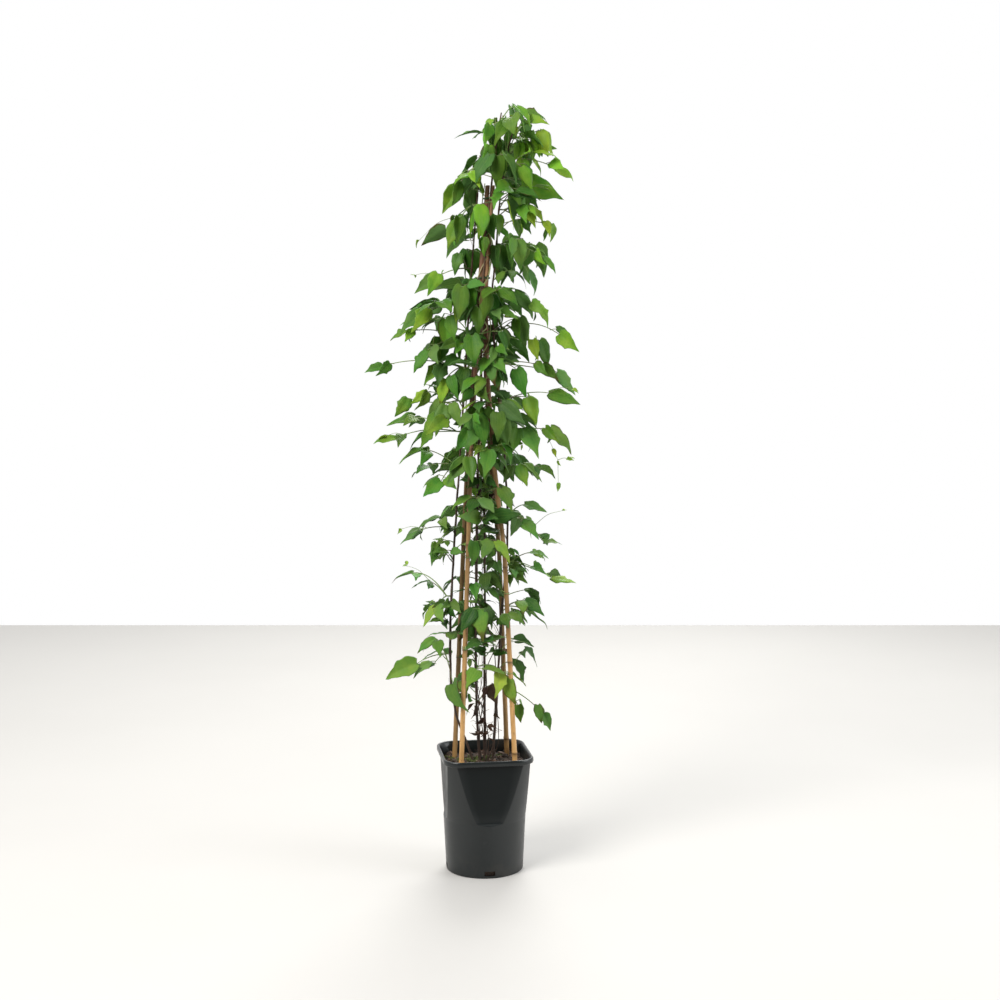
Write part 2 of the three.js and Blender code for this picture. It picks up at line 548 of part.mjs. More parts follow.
// The pieces of one compound leaf, or nothing where it finds no room. Its stalk starts at the shoot's
// knot, or at the points before it.
function compoundLeaf(before, knot, row, serial) {
  const hub = seen(row[0], row[1], row[2]);
  const reach = hub.distanceTo(knot);
  const sideways = hub.clone().sub(knot).cross(UP).normalize();
  for (let way = 0; way < BOWS.length; way += 1) {
    const [rise, sway] = BOWS[way];
    const control = knot.clone().lerp(hub, 0.5)
      .addScaledVector(UP, rise * reach).addScaledVector(sideways, sway * reach);
    const path = new THREE.QuadraticBezierCurve3(knot, control, hub).getPoints(PETIOLE_STEPS);
    const wide = tube([onPath(path, 0.1), ...path.slice(1)], () => PETIOLE_RADII[1] + CLEARANCE, 4);
    if (!isClear(wide)) continue;
    const petioleRadius = (i) => {
      if (before.length) return PETIOLE_RADII[i];
      return PETIOLE_RADII[i + 1] - (i ? 0 : SIDE_LEAF_THINNING);
    };
    const leaflets = [];
    for (let station = 0; station < row[3]; station += 1) {
      for (let go = 0; go < LEAFLET_TRIES; go += 1) {
        const draw = seeded(serial * 7919 + way * 613 + station * 101 + go * 17 + 3);
        const leaf = leafletAt(path, row, station, draw);
        const room = buildRoom(leaf);
        if (!isClear(room) || !leaflets.every((other) => room.intersect(other).isEmpty())) continue;
        leaflets.push(station > 0
          ? buildLeaflet(leaf, [leaf.foot, leaf.root], (i) => PETIOLULE_RADII[i])
          : buildLeaflet(leaf, [...before, ...path], petioleRadius));
        break;
      }
      if (!leaflets.length) break;
    }
    if (leaflets.length >= Math.min(row[3], 2)) return leaflets;
  }
  return [];
}

// All the leaves of one shoot. Its foot rests against the stem that it grows from.
function buildShoot(shoot, number) {
  const stem = stemAt(shoot.on, shoot.at);
  const middle = shoot.leaves
    .reduce((sum, row) => sum.add(seen(row[0], row[1], row[2])), new THREE.Vector3())
    .divideScalar(shoot.leaves.length);
  const out = middle.sub(stem.centre);
  out.addScaledVector(stem.along, -out.dot(stem.along)).normalize();
  const seat = stem.centre.clone().addScaledVector(out, stem.radius + SEAT_GAP);
  const knot = seat.clone().addScaledVector(out, STUB_LENGTH);
  const pieces = [];
  shoot.leaves.forEach((row, i) => {
    for (const piece of compoundLeaf(pieces.length ? [] : [seat], knot, row, number * 10 + i)) {
      pieces.push(piece);
      remember(piece);
    }
  });
  return pieces.reduce((whole, piece) => whole.add(piece));
}

// A named piece of the object, which what comes later stays clear of
function addPiece(name, solid, look) {
  remember(solid);
  const mesh = solid.getMesh();
  const geometry = new THREE.BufferGeometry();
  geometry.setAttribute("position", new THREE.BufferAttribute(mesh.vertProperties, 3));
  geometry.setIndex(new THREE.BufferAttribute(mesh.triVerts, 1));
  geometry.computeVertexNormals();
  const piece = new THREE.Mesh(geometry, new THREE.MeshStandardMaterial(look));
  piece.name = name;
  object.add(piece);
}

const CORNERS = { front_left: [-1, -1], front_right: [1, -1], back_left: [-1, 1], back_right: [1, 1] };

addPiece("pot", buildPot(), LOOKS.pot);

const holes = [];
Object.entries(CORNERS).forEach(([name, corner], number) => {
  addPiece(`cane_${name}`, buildCane(corner, number), LOOKS.bamboo);
  holes.push(buildCane(corner, number, HOLE_GAP));
});
for (const name of Object.keys(STEMS)) {
  addPiece(`stem_${name}`, buildStem(name), LOOKS.wood);
  holes.push(buildStem(name, HOLE_GAP));
}
for (const [name, height] of Object.entries(TIE_HEIGHTS)) {
  addPiece(name, buildTie(height), LOOKS.tie);
}
addPiece("soil", buildSoil(holes), LOOKS.soil);

SHOOTS.forEach((shoot, number) => {
  const solid = buildShoot(shoot, number + 1);
  addPiece(`shoot_${String(number + 1).padStart(2, "0")}`, solid, LOOKS[shoot.tone || "green"]);
});

export default object;
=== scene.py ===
import math

import bpy
import numpy as np
from mathutils import Matrix, Vector, kdtree, noise


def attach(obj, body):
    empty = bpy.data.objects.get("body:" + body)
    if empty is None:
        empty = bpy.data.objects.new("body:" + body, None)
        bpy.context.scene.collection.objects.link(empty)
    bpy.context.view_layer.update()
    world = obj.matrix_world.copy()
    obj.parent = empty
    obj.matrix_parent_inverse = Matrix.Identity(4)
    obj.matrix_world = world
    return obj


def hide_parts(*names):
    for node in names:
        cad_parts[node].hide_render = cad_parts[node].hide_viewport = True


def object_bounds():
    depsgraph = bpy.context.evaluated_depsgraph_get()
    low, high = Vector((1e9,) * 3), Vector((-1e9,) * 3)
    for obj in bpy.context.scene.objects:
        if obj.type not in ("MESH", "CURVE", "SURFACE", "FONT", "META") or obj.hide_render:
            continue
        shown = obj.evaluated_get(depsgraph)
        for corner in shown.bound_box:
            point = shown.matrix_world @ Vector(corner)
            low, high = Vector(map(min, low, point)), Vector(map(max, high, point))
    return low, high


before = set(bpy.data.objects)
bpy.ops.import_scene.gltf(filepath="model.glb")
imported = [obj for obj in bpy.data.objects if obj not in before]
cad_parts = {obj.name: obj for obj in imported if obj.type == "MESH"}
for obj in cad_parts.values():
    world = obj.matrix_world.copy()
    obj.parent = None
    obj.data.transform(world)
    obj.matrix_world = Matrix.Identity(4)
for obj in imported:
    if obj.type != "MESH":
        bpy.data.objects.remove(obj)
cad_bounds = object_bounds()

MM = 0.001
FULL_TURN = 2 * math.pi

# Where the random draws of each kind of thing start
SEEDS = {"chips": 4, "moss": 11, "stems": 70, "shoots": 1000, "strands": 31, "tangle": 58, "sprigs": 77,
         "grips": 12, "thickets": 500, "trial": 1}

# Directions as seen
VIEW_TURN = math.radians(-8.5)
RIGHT = Vector((math.cos(VIEW_TURN), math.sin(VIEW_TURN), 0))
AWAY = Vector((-math.sin(VIEW_TURN), math.cos(VIEW_TURN), 0))
UP = Vector((0, 0, 1))

# Camera and stage
EYE = (26, -2766, 925)
TARGET = (26, 0, 622)
LENS = 60.77
FLOOR_HALF = 4000
FLOOR_FRONT = -900
FLOOR_BACK = 2230
FLOOR_DROP = 0.2
LIGHT_TARGET = (20, 0, 620)

# Pot: a round foot up to the shoulder, four flats above it and a square rim. Reach is out to the corners.
RIM_HALF = 75
RIM_REACH = 94
UNDER_RIM = 191
BODY_HALF = 69
BODY_REACH = 88
FLAT_FOOT = 93
FLAT_FOOT_HALF = 66
SHOULDER = 90
SHOULDER_RADIUS = 69
FOOT_RADIUS = 64.5
WALL = 1.6
FLOOR = 2.5
SLOT_WIDTH = 18
SLOT_HEIGHT = 8
SLOT_FOOT = 4
SLOT_CUT = (55, 80)
CREASE_TURN = math.radians(0.35)
LEAST_FLAT = math.radians(3)
SHARP_EDGE = math.radians(50)
FLAT_STEPS = 12
ARC_STEPS = 20
RING_COUNT = 4 * (FLAT_STEPS + ARC_STEPS + 2)

# Soil
SOIL_TOP = 180
SOIL_GAP = 0.5
SOIL_RELIEF = 2.4
SOIL_MOUND = 3
SOIL_RINGS = 46
CHIPS = 620
LARGE_CHIPS = 190
MOSS_TUFTS = 420
MOSS_SPOTS = [(-28, 12), (-10, 4), (22, 30), (-50, 34)]
MOSS_SHARES = [0.45, 0.3, 0.1, 0.15]

# Canes: half their spacing and the shift of their middle to the right, by height
CANE_FOOT = 105
CANE_TOP = 1133
CANE_GATHER = [[105, 45.5, 0], [180, 45, 0], [540, 30, -1], [690, 19, -6], [830, 10, -6],
               [957, 5, -3], [1050, 4.2, 4], [1133, 4.1, 10]]
CANE_RADIUS_FOOT = 4.2
CANE_RADIUS_TOP = 3.2
CANE_KNUCKLES = 6
CANE_SIDES = 20
KNUCKLE_RINGS = [-9, -6, -4, -2.6, -1.5, -0.7, 0, 0.7, 1.4, 2.2, 3.4, 5, 8]
CORNERS = {"front_left": (-1, -1), "front_right": (1, -1), "back_left": (-1, 1), "back_right": (1, 1)}
# How much browner each cane is; the back ones more
CANE_BROWNING = {"front_left": 0.1, "front_right": 0.0, "back_left": 0.75, "back_right": 0.6}

# Ties
TIE_HEIGHTS = {"tie_top": 1112, "tie_middle": 985}
TIE_RADIUS = 0.9
TIE_GAP = 0.45
TIE_STEPS = 96
TWIST_STEPS = 32
KNUCKLE_RISE = 0.55

# Climbing stems, as [across, away, up]
STEM_RADIUS_FOOT = 2.3
STEM_RADIUS_TOP = 1.2
STEM_STEPS = 22
BARK_STEPS = 260
BARK_STRINGS = 16
STEMS = {
    "left": [[-15, 6, 150], [-22, 6, 190], [-52, 2, 280], [-57, 0, 400], [-50, -2, 540], [-40, -2, 690],
             [-31, 0, 830], [-23, 0, 957], [-16, -2, 1050], [-9, -7, 1133], [-6, -9, 1180]],
    "front": [[-4, -3, 150], [-9, -2, 200], [-14, 0, 300], [-14, -2, 450], [-12, -6, 600], [-9, -19, 700],
              [-5, -26, 780], [-4, -25, 850], [-3, -19, 957], [4, -17, 1050], [12, -18, 1133],
              [19, -16, 1190], [28, -12, 1247]],
    "back": [[2, 13, 150], [1, 14, 200], [0, 13, 320], [1, 10, 480], [0, 10, 620], [-3, 15, 720],
             [-5, 24, 800], [-6, 26, 870], [-3, 20, 957], [5, 18, 1050], [12, 19, 1133], [20, 15, 1190],
             [31, 8, 1245]],
    "right": [[11, 3, 150], [15, 4, 200], [22, 4, 320], [30, 2, 450], [39, 1, 560], [34, 2, 690],
              [25, 3, 780], [18, 2, 860], [14, 2, 957], [21, 1, 1050], [28, 0, 1133], [37, -4, 1180],
              [46, -8, 1215]],
}

# Leaves, by the same rule as the frame's. A leaflet's station says how far along the leaf's stalk it
# sits, how far it turns aside and how long its own stalk is. A bow is the stalk's rise and sway.
SEAT_GAP = 0.35
STUB_LENGTH = 6
BLADE_THICKNESS = 0.7
BLADE_WIDTH = 0.62
LEAFLET_TRIES = 9
TIP_MATCH = 0.05
TURN_SPREAD = 36
PITCH_SPREAD = 30
ROLL_SPREAD = 44
STATIONS = [(1, 0, 0), (0.85, 62, 0.3), (0.77, -62, 0.3), (0.55, 75, 0.34)]
BOWS = [(0.16, 0), (0.3, 0.16), (0.05, -0.16), (0.34, -0.2), (-0.12, 0.1), (0.45, 0.05)]

# Leafy shoots: the stem, the height, and the compound leaves:
# [across, away, up, leaflets, leaflet length, pitch below level, roll towards the light]
SHOOTS = [
    ["front", 1232, [46, -12, 1258, 3, 46, 35, 40], [10, -24, 1222, 3, 38, 60, 40]],
    ["right", 1208, [90, 0, 1218, 3, 50, 55, 60], [62, 28, 1230, 2, 42, 35, 30]],
    ["front", 1176, [22, -42, 1176, 3, 50, 70, 20], [60, -36, 1160, 2, 46, 60, 30]],
    ["right", 1176, [116, -8, 1160, 3, 44, 20, 60], [92, -22, 1180, 2, 44, 45, 60]],
    ["right", 1146, [66, -6, 1138, 1, 66, 20, 80], [62, 26, 1130, 3, 44, 50, 30]],
    ["back", 1165, [-2, 44, 1180, 3, 44, 50, 30], [44, 54, 1160, 3, 44, 55, 30]],
    ["left", 1160, [-22, -14, 1152, 3, 42, 30, 30], [-42, -6, 1130, 2, 46, 50, 60]],
    ["left", 1100, [-64, -12, 1096, 3, 42, 30, 40], [-42, -24, 1074, 3, 46, 70, 50],
     [-62, 18, 1064, 1, 52, 15, 40]],
    ["front", 1105, [-12, -38, 1096, 3, 58, 75, 15], [36, -36, 1106, 2, 50, 80, 15]],
    ["right", 1095, [66, -16, 1098, 3, 40, 60, 40], [110, -4, 1072, 3, 34, 75, 50]],
    ["right", 1040, [56, -26, 1046, 3, 44, 80, 20], [98, 2, 1018, 4, 34, 55, 50],
     [72, 10, 994, 2, 34, 60, 40]],
    ["back", 1070, [-38, 46, 1066, 2, 46, 50, 30], [42, 52, 1050, 2, 46, 55, 30]],
    ["left", 1000, [-40, -16, 1024, 1, 36, 50, 50], [-76, -6, 986, 3, 46, 30, 50],
     [-108, -10, 962, 2, 38, 30, 50]],
    ["left", 940, [-94, -16, 930, 3, 60, 25, 55], [-60, -26, 918, 3, 46, 70, 40]],
    ["front", 962, [-34, -40, 968, 3, 56, 70, 20], [10, -38, 956, 3, 54, 75, 10]],
    ["back", 965, [-36, 52, 980, 3, 48, 50, 30], [36, 54, 962, 2, 48, 50, 30]],
    ["left", 888, [-126, -4, 898, 3, 34, 30, 50], [-92, -14, 868, 3, 48, 40, 50]],
    ["left", 840, [-166, 0, 842, 2, 34, 30, 60], [-124, 12, 852, 2, 40, 30, 40],
     [-62, -22, 822, 2, 44, 70, 40]],
    ["front", 895, [-26, -44, 888, 3, 52, 80, 10], [28, -40, 898, 2, 46, 75, 10]],
    ["right", 955, [50, -14, 962, 2, 46, 50, 50], [84, -6, 944, 3, 46, 40, 50]],
    ["right", 895, [56, -16, 920, 3, 46, 60, 40], [90, -4, 884, 3, 44, 50, 50],
     [122, -4, 894, 2, 44, 30, 70]],
    ["right", 845, [94, 0, 842, 3, 34, 30, 60], [120, 10, 832, 1, 50, 45, 40],
     [52, -34, 838, 2, 42, 70, 30]],
    ["front", 840, [12, -42, 852, 3, 46, 75, 10], [-34, -36, 836, 3, 42, 60, 30]],
    ["back", 890, [-56, 50, 900, 2, 50, 50, 30], [48, 52, 886, 2, 48, 50, 30]],
    ["left", 785, [-92, -6, 800, 2, 38, 40, 50], [-124, -4, 790, 1, 40, 75, 60],
     [-62, -24, 780, 3, 50, 60, 40]],
    ["left", 735, [-116, 10, 758, 3, 44, 15, 20], [-90, -10, 734, 2, 40, 20, 20],
     [-146, 0, 724, 2, 42, 5, 10]],
    ["left", 680, [-94, -12, 706, 3, 44, 5, 15], [-96, 6, 676, 3, 40, 20, 20],
     [-70, -28, 656, 3, 40, 30, 30]],
    ["front", 770, [-16, -46, 762, 3, 52, 70, 10], [26, -46, 766, 3, 50, 70, 15]],
    ["front", 705, [-30, -48, 694, 2, 46, 55, 20], [16, -46, 708, 3, 48, 60, 20]],
    ["right", 785, [70, -12, 792, 2, 42, 50, 40], [106, 6, 798, 1, 50, 10, 30],
     [112, 18, 764, 3, 26, 20, 40]],
    ["right", 730, [66, -24, 742, 3, 46, 60, 40], [108, -6, 738, 3, 46, 35, 50],
     [136, 6, 720, 2, 38, 25, 40]],
    ["right", 668, [56, -24, 682, 3, 42, 50, 30], [92, 20, 676, 2, 34, 30, 30]],
    ["back", 800, [-54, 54, 800, 2, 46, 45, 30], [48, 56, 790, 2, 46, 45, 30]],
    ["back", 700, [-48, 54, 700, 3, 46, 40, 30], [50, 54, 690, 3, 46, 40, 30]],
    ["front", 630, [-12, -44, 628, 3, 44, 30, 20], [28, -46, 646, 2, 40, 40, 20]],
    ["right", 604, [66, -12, 616, 2, 40, 15, 20], [62, -20, 588, 3, 38, 40, 20],
     [98, 6, 552, 2, 42, 10, 10]],
    ["left", 575, [-72, -10, 594, 3, 40, 10, 20], [-106, -2, 572, 3, 40, 25, 30],
     [-78, -16, 548, 2, 38, 50, 30]],
    ["front", 552, [-16, -42, 558, 2, 46, 60, 10], [20, -44, 560, 3, 42, 40, 20]],
    ["right", 520, [76, -8, 536, 2, 38, 10, 20], [84, -4, 508, 3, 40, 10, 20],
     [112, 8, 492, 2, 40, 10, 15]],
    ["back", 600, [-46, 52, 604, 3, 42, 30, 20], [50, 50, 590, 3, 42, 30, 20]],
    ["left", 462, [-90, -6, 488, 2, 32, 15, 20], [-118, 6, 500, 2, 34, 5, 10],
     [-80, -16, 446, 3, 44, 35, 30]],
    ["front", 440, [-8, -38, 446, 3, 46, 60, 20], [6, -34, 482, 2, 38, 40, 20]],
    ["right", 445, [66, -8, 456, 3, 42, 20, 20], [74, 10, 434, 2, 42, 35, 20]],
    ["back", 480, [-44, 50, 486, 3, 42, 30, 20], [46, 50, 470, 2, 42, 30, 20]],
    ["left", 365, [-80, -8, 392, 3, 40, 30, 30], [-112, -10, 350, 1, 64, 20, 40],
     [-84, 6, 346, 2, 42, 15, 20], [-52, -26, 320, 1, 62, 30, 50]],
    ["front", 345, [-12, -40, 346, 3, 44, 20, 30], [36, -34, 330, 3, 44, 40, 20]],
    ["right", 310, [68, 6, 372, 2, 34, 30, 20], [56, -18, 282, 2, 34, 75, 40], [98, 4, 262, 3, 36, 70, 40]],
    ["back", 290, [8, -4, 312, 3, 30, 60, 50], [-14, 22, 270, 2, 22, 50, 40]],
]
SHOOT_TONES = {46: "young", 48: "dry"}


# General helpers
def seen(across, away, up):
    """A point of the plant, from its place as seen."""
    return RIGHT * across + AWAY * away + UP * up


def read_off(rows, key, column):
    """A value read off a list of [key, value, ...] rows, straight between them."""
    i = 1
    while i < len(rows) - 1 and rows[i][0] < key:
        i += 1
    share = (key - rows[i - 1][0]) / (rows[i][0] - rows[i - 1][0])
    return rows[i - 1][column] + (rows[i][column] - rows[i - 1][column]) * share


def pointing(angle):
    """A level direction, counted round from +X."""
    return Vector((math.cos(angle), math.sin(angle), 0))


def turned(vector, axis, angle):
    """A vector turned about an axis."""
    return Matrix.Rotation(angle, 3, axis) @ vector


def ease(value, low, high):
    """0 below low, 1 above high, smooth between."""
    share = np.clip((value - low) / (high - low), 0, 1)
    return share * share * (3 - 2 * share)


def hump(value, middle, width):
    """1 in the middle, fading to 0 on both sides."""
    return np.exp(-(((value - middle) / width) ** 2))


def draws(kind, number=0):
    """Random draws for one thing of a kind."""
    return np.random.default_rng(SEEDS[kind] + number)


def any_way(random, low, high):
    """A random direction, its rise drawn between two bounds."""
    return Vector((random.normal(), random.normal(), random.uniform(low, high))).normalized()


def seeded(seed):
    """The frame's own seeded draw of numbers from 0 to 1."""
    word = 0xFFFFFFFF
    state = seed & word

    def draw():
        nonlocal state
        state = (state + 0x6D2B79F5) & word
        mixed = ((state ^ (state >> 15)) * (state | 1)) & word
        mixed ^= (mixed + (mixed ^ (mixed >> 7)) * (mixed | 61)) & word
        return (mixed ^ (mixed >> 14)) / 4294967296

    return draw


# Meshes
class Skin:
    """A mesh in the making: corners in millimetres, faces by material, and named values per corner."""

    def __init__(self, *values):
        self.points = []
        self.faces = []
        self.count = 0
        self.names = values
        self.values = {name: [] for name in values}

    def add(self, points, faces, material=0, smooth=True, **values):
        """Takes in corners, and faces that count from the first of them."""
        points = np.asarray(points, float).reshape(-1, 3)
        for part in faces:
            part = np.asarray(part, np.int64)
            if len(part):
                self.faces.append((part + self.count, material, smooth))
        self.points.append(points)
        self.count += len(points)
        for name in self.names:
            self.values[name].append(np.broadcast_to(np.asarray(values.get(name, 0.0), float), len(points)))

    def add_tube(self, path, radius, sides, material=0, swell=None):
        """Takes in a closed tube along a path. swell(share, angles) scales each ring's corners."""
        points, faces = tube(path, radius, sides, swell)
        self.add(points, faces, material)

    def build(self, name, materials, slot, *replaced):
        """Makes the mesh, in materials named by their keys, and its piece, which replaces the nodes named."""
        mesh = bpy.data.meshes.new(name)
        points = np.concatenate(self.points) * MM
        corners = np.concatenate([part.ravel() for part, _, _ in self.faces])
        sizes = np.concatenate([np.full(len(part), part.shape[1]) for part, _, _ in self.faces])
        mesh.vertices.add(len(points))
        mesh.vertices.foreach_set("co", points.astype(np.float32).ravel())
        mesh.loops.add(len(corners))
        mesh.loops.foreach_set("vertex_index", corners.astype(np.int32))
        mesh.polygons.add(len(sizes))
        mesh.polygons.foreach_set("loop_start", (np.cumsum(sizes) - sizes).astype(np.int32))
        for material in materials:
            mesh.materials.append(MATERIALS[material])
        chosen = np.concatenate([np.full(len(part), material) for part, material, _ in self.faces])
        smooth = np.concatenate([np.full(len(part), smooth) for part, _, smooth in self.faces])
        mesh.polygons.foreach_set("material_index", chosen.astype(np.int32))
        mesh.polygons.foreach_set("use_smooth", smooth)
        for value in self.names:
            attribute = mesh.attributes.new(value, "FLOAT", "POINT")
            attribute.data.foreach_set("value", np.concatenate(self.values[value]).astype(np.float32))
        mesh.update(calc_edges=True)
        mesh.validate()
        piece = bpy.data.objects.new(name, mesh)
        bpy.context.scene.collection.objects.link(piece)
        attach(piece, "root")
        if replaced:
            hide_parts(*replaced)
        return piece


def rings_to_faces(rings, count):
    """Quads between rings of equally many corners, and the fans that close the first and last."""
    i = np.arange(count)
    j = (i + 1) % count
    low = np.arange(rings - 1)[:, None] * count
    quads = np.stack([low + i, low + j, low + count + j, low + count + i], -1).reshape(-1, 4)
    first, last = rings * count, rings * count + 1
    top = (rings - 1) * count
    first_fan = np.stack([np.full(count, first), j, i], -1)
    last_fan = np.stack([np.full(count, last), top + i, top + j], -1)
    return [quads, np.concatenate([first_fan, last_fan])]


def round_angles(count):
    """Even angles round a full turn."""
    return np.arange(count) / count * FULL_TURN


# How far a tube's closed end stands out, as a share of its radius
TUBE_DOME = 0.35


def tube(path, radius, sides, swell=None):
    """Corners and faces of a closed tube along a path. Its radius is one number, one for each point, or
    the pair that it tapers between."""
    path = np.asarray([tuple(p) for p in path], float)
    if isinstance(radius, tuple):
        radius = np.linspace(*radius, len(path))
    radius = np.broadcast_to(np.asarray(radius, float), len(path))
    along = np.gradient(path, axis=0)
    along /= np.linalg.norm(along, axis=1)[:, None]
    steady = np.cross(along[0], (0, 0, 1) if abs(along[0][2]) < 0.9 else (1, 0, 0))
    angles = round_angles(sides)
    rings = []
    for i, point in enumerate(path):
        steady = steady - along[i] * steady.dot(along[i])
        steady /= np.linalg.norm(steady)
        other = np.cross(along[i], steady)
        reach = radius[i] * (np.ones(sides) if swell is None else swell(i / (len(path) - 1), angles))
        ring = point + np.outer(np.cos(angles) * reach, steady)
        rings.append(ring + np.outer(np.sin(angles) * reach, other))
    ends = [path[0] - along[0] * radius[0] * TUBE_DOME, path[-1] + along[-1] * radius[-1] * TUBE_DOME]
    return np.concatenate(rings + [ends]), rings_to_faces(len(path), sides)


def curve_through(places, steps):
    """Points on a smooth curve through places, evenly spread over its stretches."""
    points = [Vector(p) for p in places]
    made = []
    for step in range(steps + 1):
        along = step / steps * (len(points) - 1)
        i = min(int(along), len(points) - 2)
        t = along - i
        before = points[i - 1] if i > 0 else points[0] * 2 - points[1]
        after = points[i + 2] if i + 2 < len(points) else points[-1] * 2 - points[-2]
        start = (points[i + 1] - before) * 0.5
        end = (after - points[i]) * 0.5
        a = points[i] * 2 - points[i + 1] * 2 + start + end
        b = points[i + 1] * 3 - points[i] * 3 - start * 2 - end
        made.append(points[i] + start * t + b * t * t + a * t * t * t)
    return made


def on_path(path, share):
    """The place at a share of a path's steps."""
    along = share * (len(path) - 1)
    step = min(int(along), len(path) - 2)
    return path[step].lerp(path[step + 1], along - step)


# Materials
class Signal:
    """What a material's node gives out: a number, which can be reckoned with, a colour or a shader."""

    def __init__(self, paint, socket):
        self.paint, self.socket = paint, socket

    def __add__(self, other):
        return self.paint.math("ADD", self, other)

    def __sub__(self, other):
        return self.paint.math("SUBTRACT", self, other)

    def __mul__(self, other):
        return self.paint.math("MULTIPLY", self, other)

    def __abs__(self):
        return self.paint.math("ABSOLUTE", self)

    def over(self, other):
        """The larger of two numbers."""
        return self.paint.math("MAXIMUM", self, other)


class Paint:
    """A procedural material, built node by node. Colours are linear, lengths in metres."""

    def __init__(self, name, **settings):
        self.material = bpy.data.materials.new(name)
        self.material.use_nodes = True
        self.tree = self.material.node_tree
        self.shader = self.tree.nodes["Principled BSDF"]
        self.set(**settings)

    def set(self, **sockets):
        """Gives the surface its values, and returns the material."""
        for key, value in sockets.items():
            self.plug(self.shader.inputs[key.replace("_", " ")], value)
        return self.material

    def plug(self, socket, value):
        """Links a signal to a socket, or sets a plain value or colour there."""
        if isinstance(value, Signal):
            self.tree.links.new(value.socket, socket)
        elif socket.type == "RGBA":
            socket.default_value = (*value, 1)
        else:
            socket.default_value = value

    def node(self, kind, inputs, **settings):
        made = self.tree.nodes.new("ShaderNode" + kind)
        for key, value in settings.items():
            setattr(made, key, value)
        for key, value in inputs.items():
            self.plug(made.inputs[key], value)
        return made

    def out(self, kind, inputs, output=0, **settings):
        """One output of a new node."""
        return Signal(self, self.node(kind, inputs, **settings).outputs[output])

    def value(self, name):
        """A value that the mesh holds at its corners."""
        return self.out("Attribute", {}, "Fac", attribute_name=name)

    def place(self, scale=(1, 1, 1)):
        spot = self.out("TexCoord", {}, "Object")
        return self.out("Mapping", {"Vector": spot, "Scale": scale})

    def height(self):
        return self.out("SeparateXYZ", {0: self.place()}, "Z")

    def noise(self, scale, detail=3, rough=0.55, stretch=(1, 1, 1)):
        inputs = {"Scale": scale, "Detail": detail, "Roughness": rough, "Vector": self.place(stretch)}
        return self.out("TexNoise", inputs, "Fac")

    def cells(self, scale, feature="F1"):
        return self.out("TexVoronoi", {"Scale": scale, "Vector": self.place()}, "Distance", feature=feature)

    def math(self, operation, a, b=0.0, clamp=False):
        return self.out("Math", {0: a, 1: b}, operation=operation, use_clamp=clamp)

    def spread(self, value, low, high, to_low=0.0, to_high=1.0):
        """The value moved from one range to another, smoothly, and held at its ends."""
        inputs = {"Value": value, "From Min": low, "From Max": high, "To Min": to_low, "To Max": to_high}
        return self.out("MapRange", inputs, "Result", interpolation_type="SMOOTHSTEP")

    def ramp(self, factor, *stops):
        """A colour read off [place, colour] stops."""
        node = self.node("ValToRGB", {0: factor})
        elements = node.color_ramp.elements
        while len(elements) < len(stops):
            elements.new(0.5)
        for element, (position, colour) in zip(elements, stops):
            element.position = position
            element.color = (*colour, 1)
        return Signal(self, node.outputs["Color"])

    def mix(self, factor, a, b):
        return self.out("Mix", {0: factor, 6: a, 7: b}, 2, data_type="RGBA")

    def bump(self, height, strength, distance):
        return self.out("Bump", {"Height": height, "Strength": strength, "Distance": distance})


# Long veins beside a blade's midrib, as shares of its half width
SIDE_VEINS = (0.36, 0.70)


def leaf_paint(name, deep, middle, light, below, vein, let_through=0.25):
    """A leaf: green by its tint, which carries painted light and painted shade, with paler veins, a paler
    underside, a pale bloom with painted sheen on some leaves, a soft gloss and worn edges.
    """
    paint = Paint(name, IOR=1.4, Specular_IOR_Level=0.32)
    across, along = abs(paint.value("blade_v")), paint.value("blade_u")
    under, worn = paint.value("below"), paint.value("worn")
    blotch, mottle = paint.noise(38, 4, 0.6), paint.noise(260, 3, 0.6)
    shade = paint.value("tint") + (blotch - 0.5) * 0.5 + (mottle - 0.5) * 0.2
    green = paint.ramp(shade, (0.0, deep), (0.5, middle), (1.0, light))
    hue = paint.spread(paint.value("warm") + (blotch - 0.5), 0, 1, 0.533, 0.467)
    depth = paint.spread(paint.height(), 0.4, 1.0, 0.92, 0.98)
    green = paint.out("HueSaturation", {"Hue": hue, "Saturation": depth, "Color": green})
    lines, fade = paint.spread(across, 0.05, 0.0), paint.spread(along, 0.95, 0.3)
    for place in SIDE_VEINS:
        lines = lines.over(paint.spread(abs(across - place), 0.035, 0.0) * fade)
    net = paint.spread(paint.cells(300, "DISTANCE_TO_EDGE"), 0.12, 0.0)
    green = paint.mix(lines.over(net * 0.4) * 0.3, green, vein)
    # Some leaves paler, towards the underside's colour: partly a pale bloom, partly painted sheen
    green = paint.mix(paint.value("hoar") * 0.5, green, below)
    green = paint.mix(under * 0.6, green, below)
    edge = (across - 0.35).over(along - 0.3) + blotch * 0.7
    green = paint.mix(paint.spread(edge, 0.8, 1.0) * worn, green, (0.085, 0.042, 0.014))
    relief = mottle * 0.5 - lines * 0.8 - net * 0.25
    roughness = paint.spread(blotch, 0.2, 0.8, 0.46, 0.6) + under.over(worn) * 0.2
    paint.set(Base_Color=green, Roughness=roughness, Normal=paint.bump(relief, 0.17, 0.0004))
    through = paint.out("BsdfTranslucent", {"Color": paint.mix(0.55, green, light)})
    leaf = paint.out("MixShader", {0: let_through, 1: Signal(paint, paint.shader.outputs[0]), 2: through})
    paint.plug(paint.tree.nodes["Material Output"].inputs[0], leaf)
    return paint.material


def stalk_paint(name, fresh, flushed, pale):
    """Leaf stalks and thin shoots: one colour, with another here and there, and a pale grain."""
    paint = Paint(name)
    tone = paint.mix(paint.spread(paint.noise(22, 2), 0.42, 0.68), fresh, flushed)
    grain = paint.noise(900, 2, 0.5, (1, 1, 0.15))
    return paint.set(Base_Color=paint.mix(grain * 0.4, tone, pale),
                     Roughness=paint.spread(grain, 0.2, 0.8, 0.42, 0.6),
                     Normal=paint.bump(grain, 0.3, 0.0002))


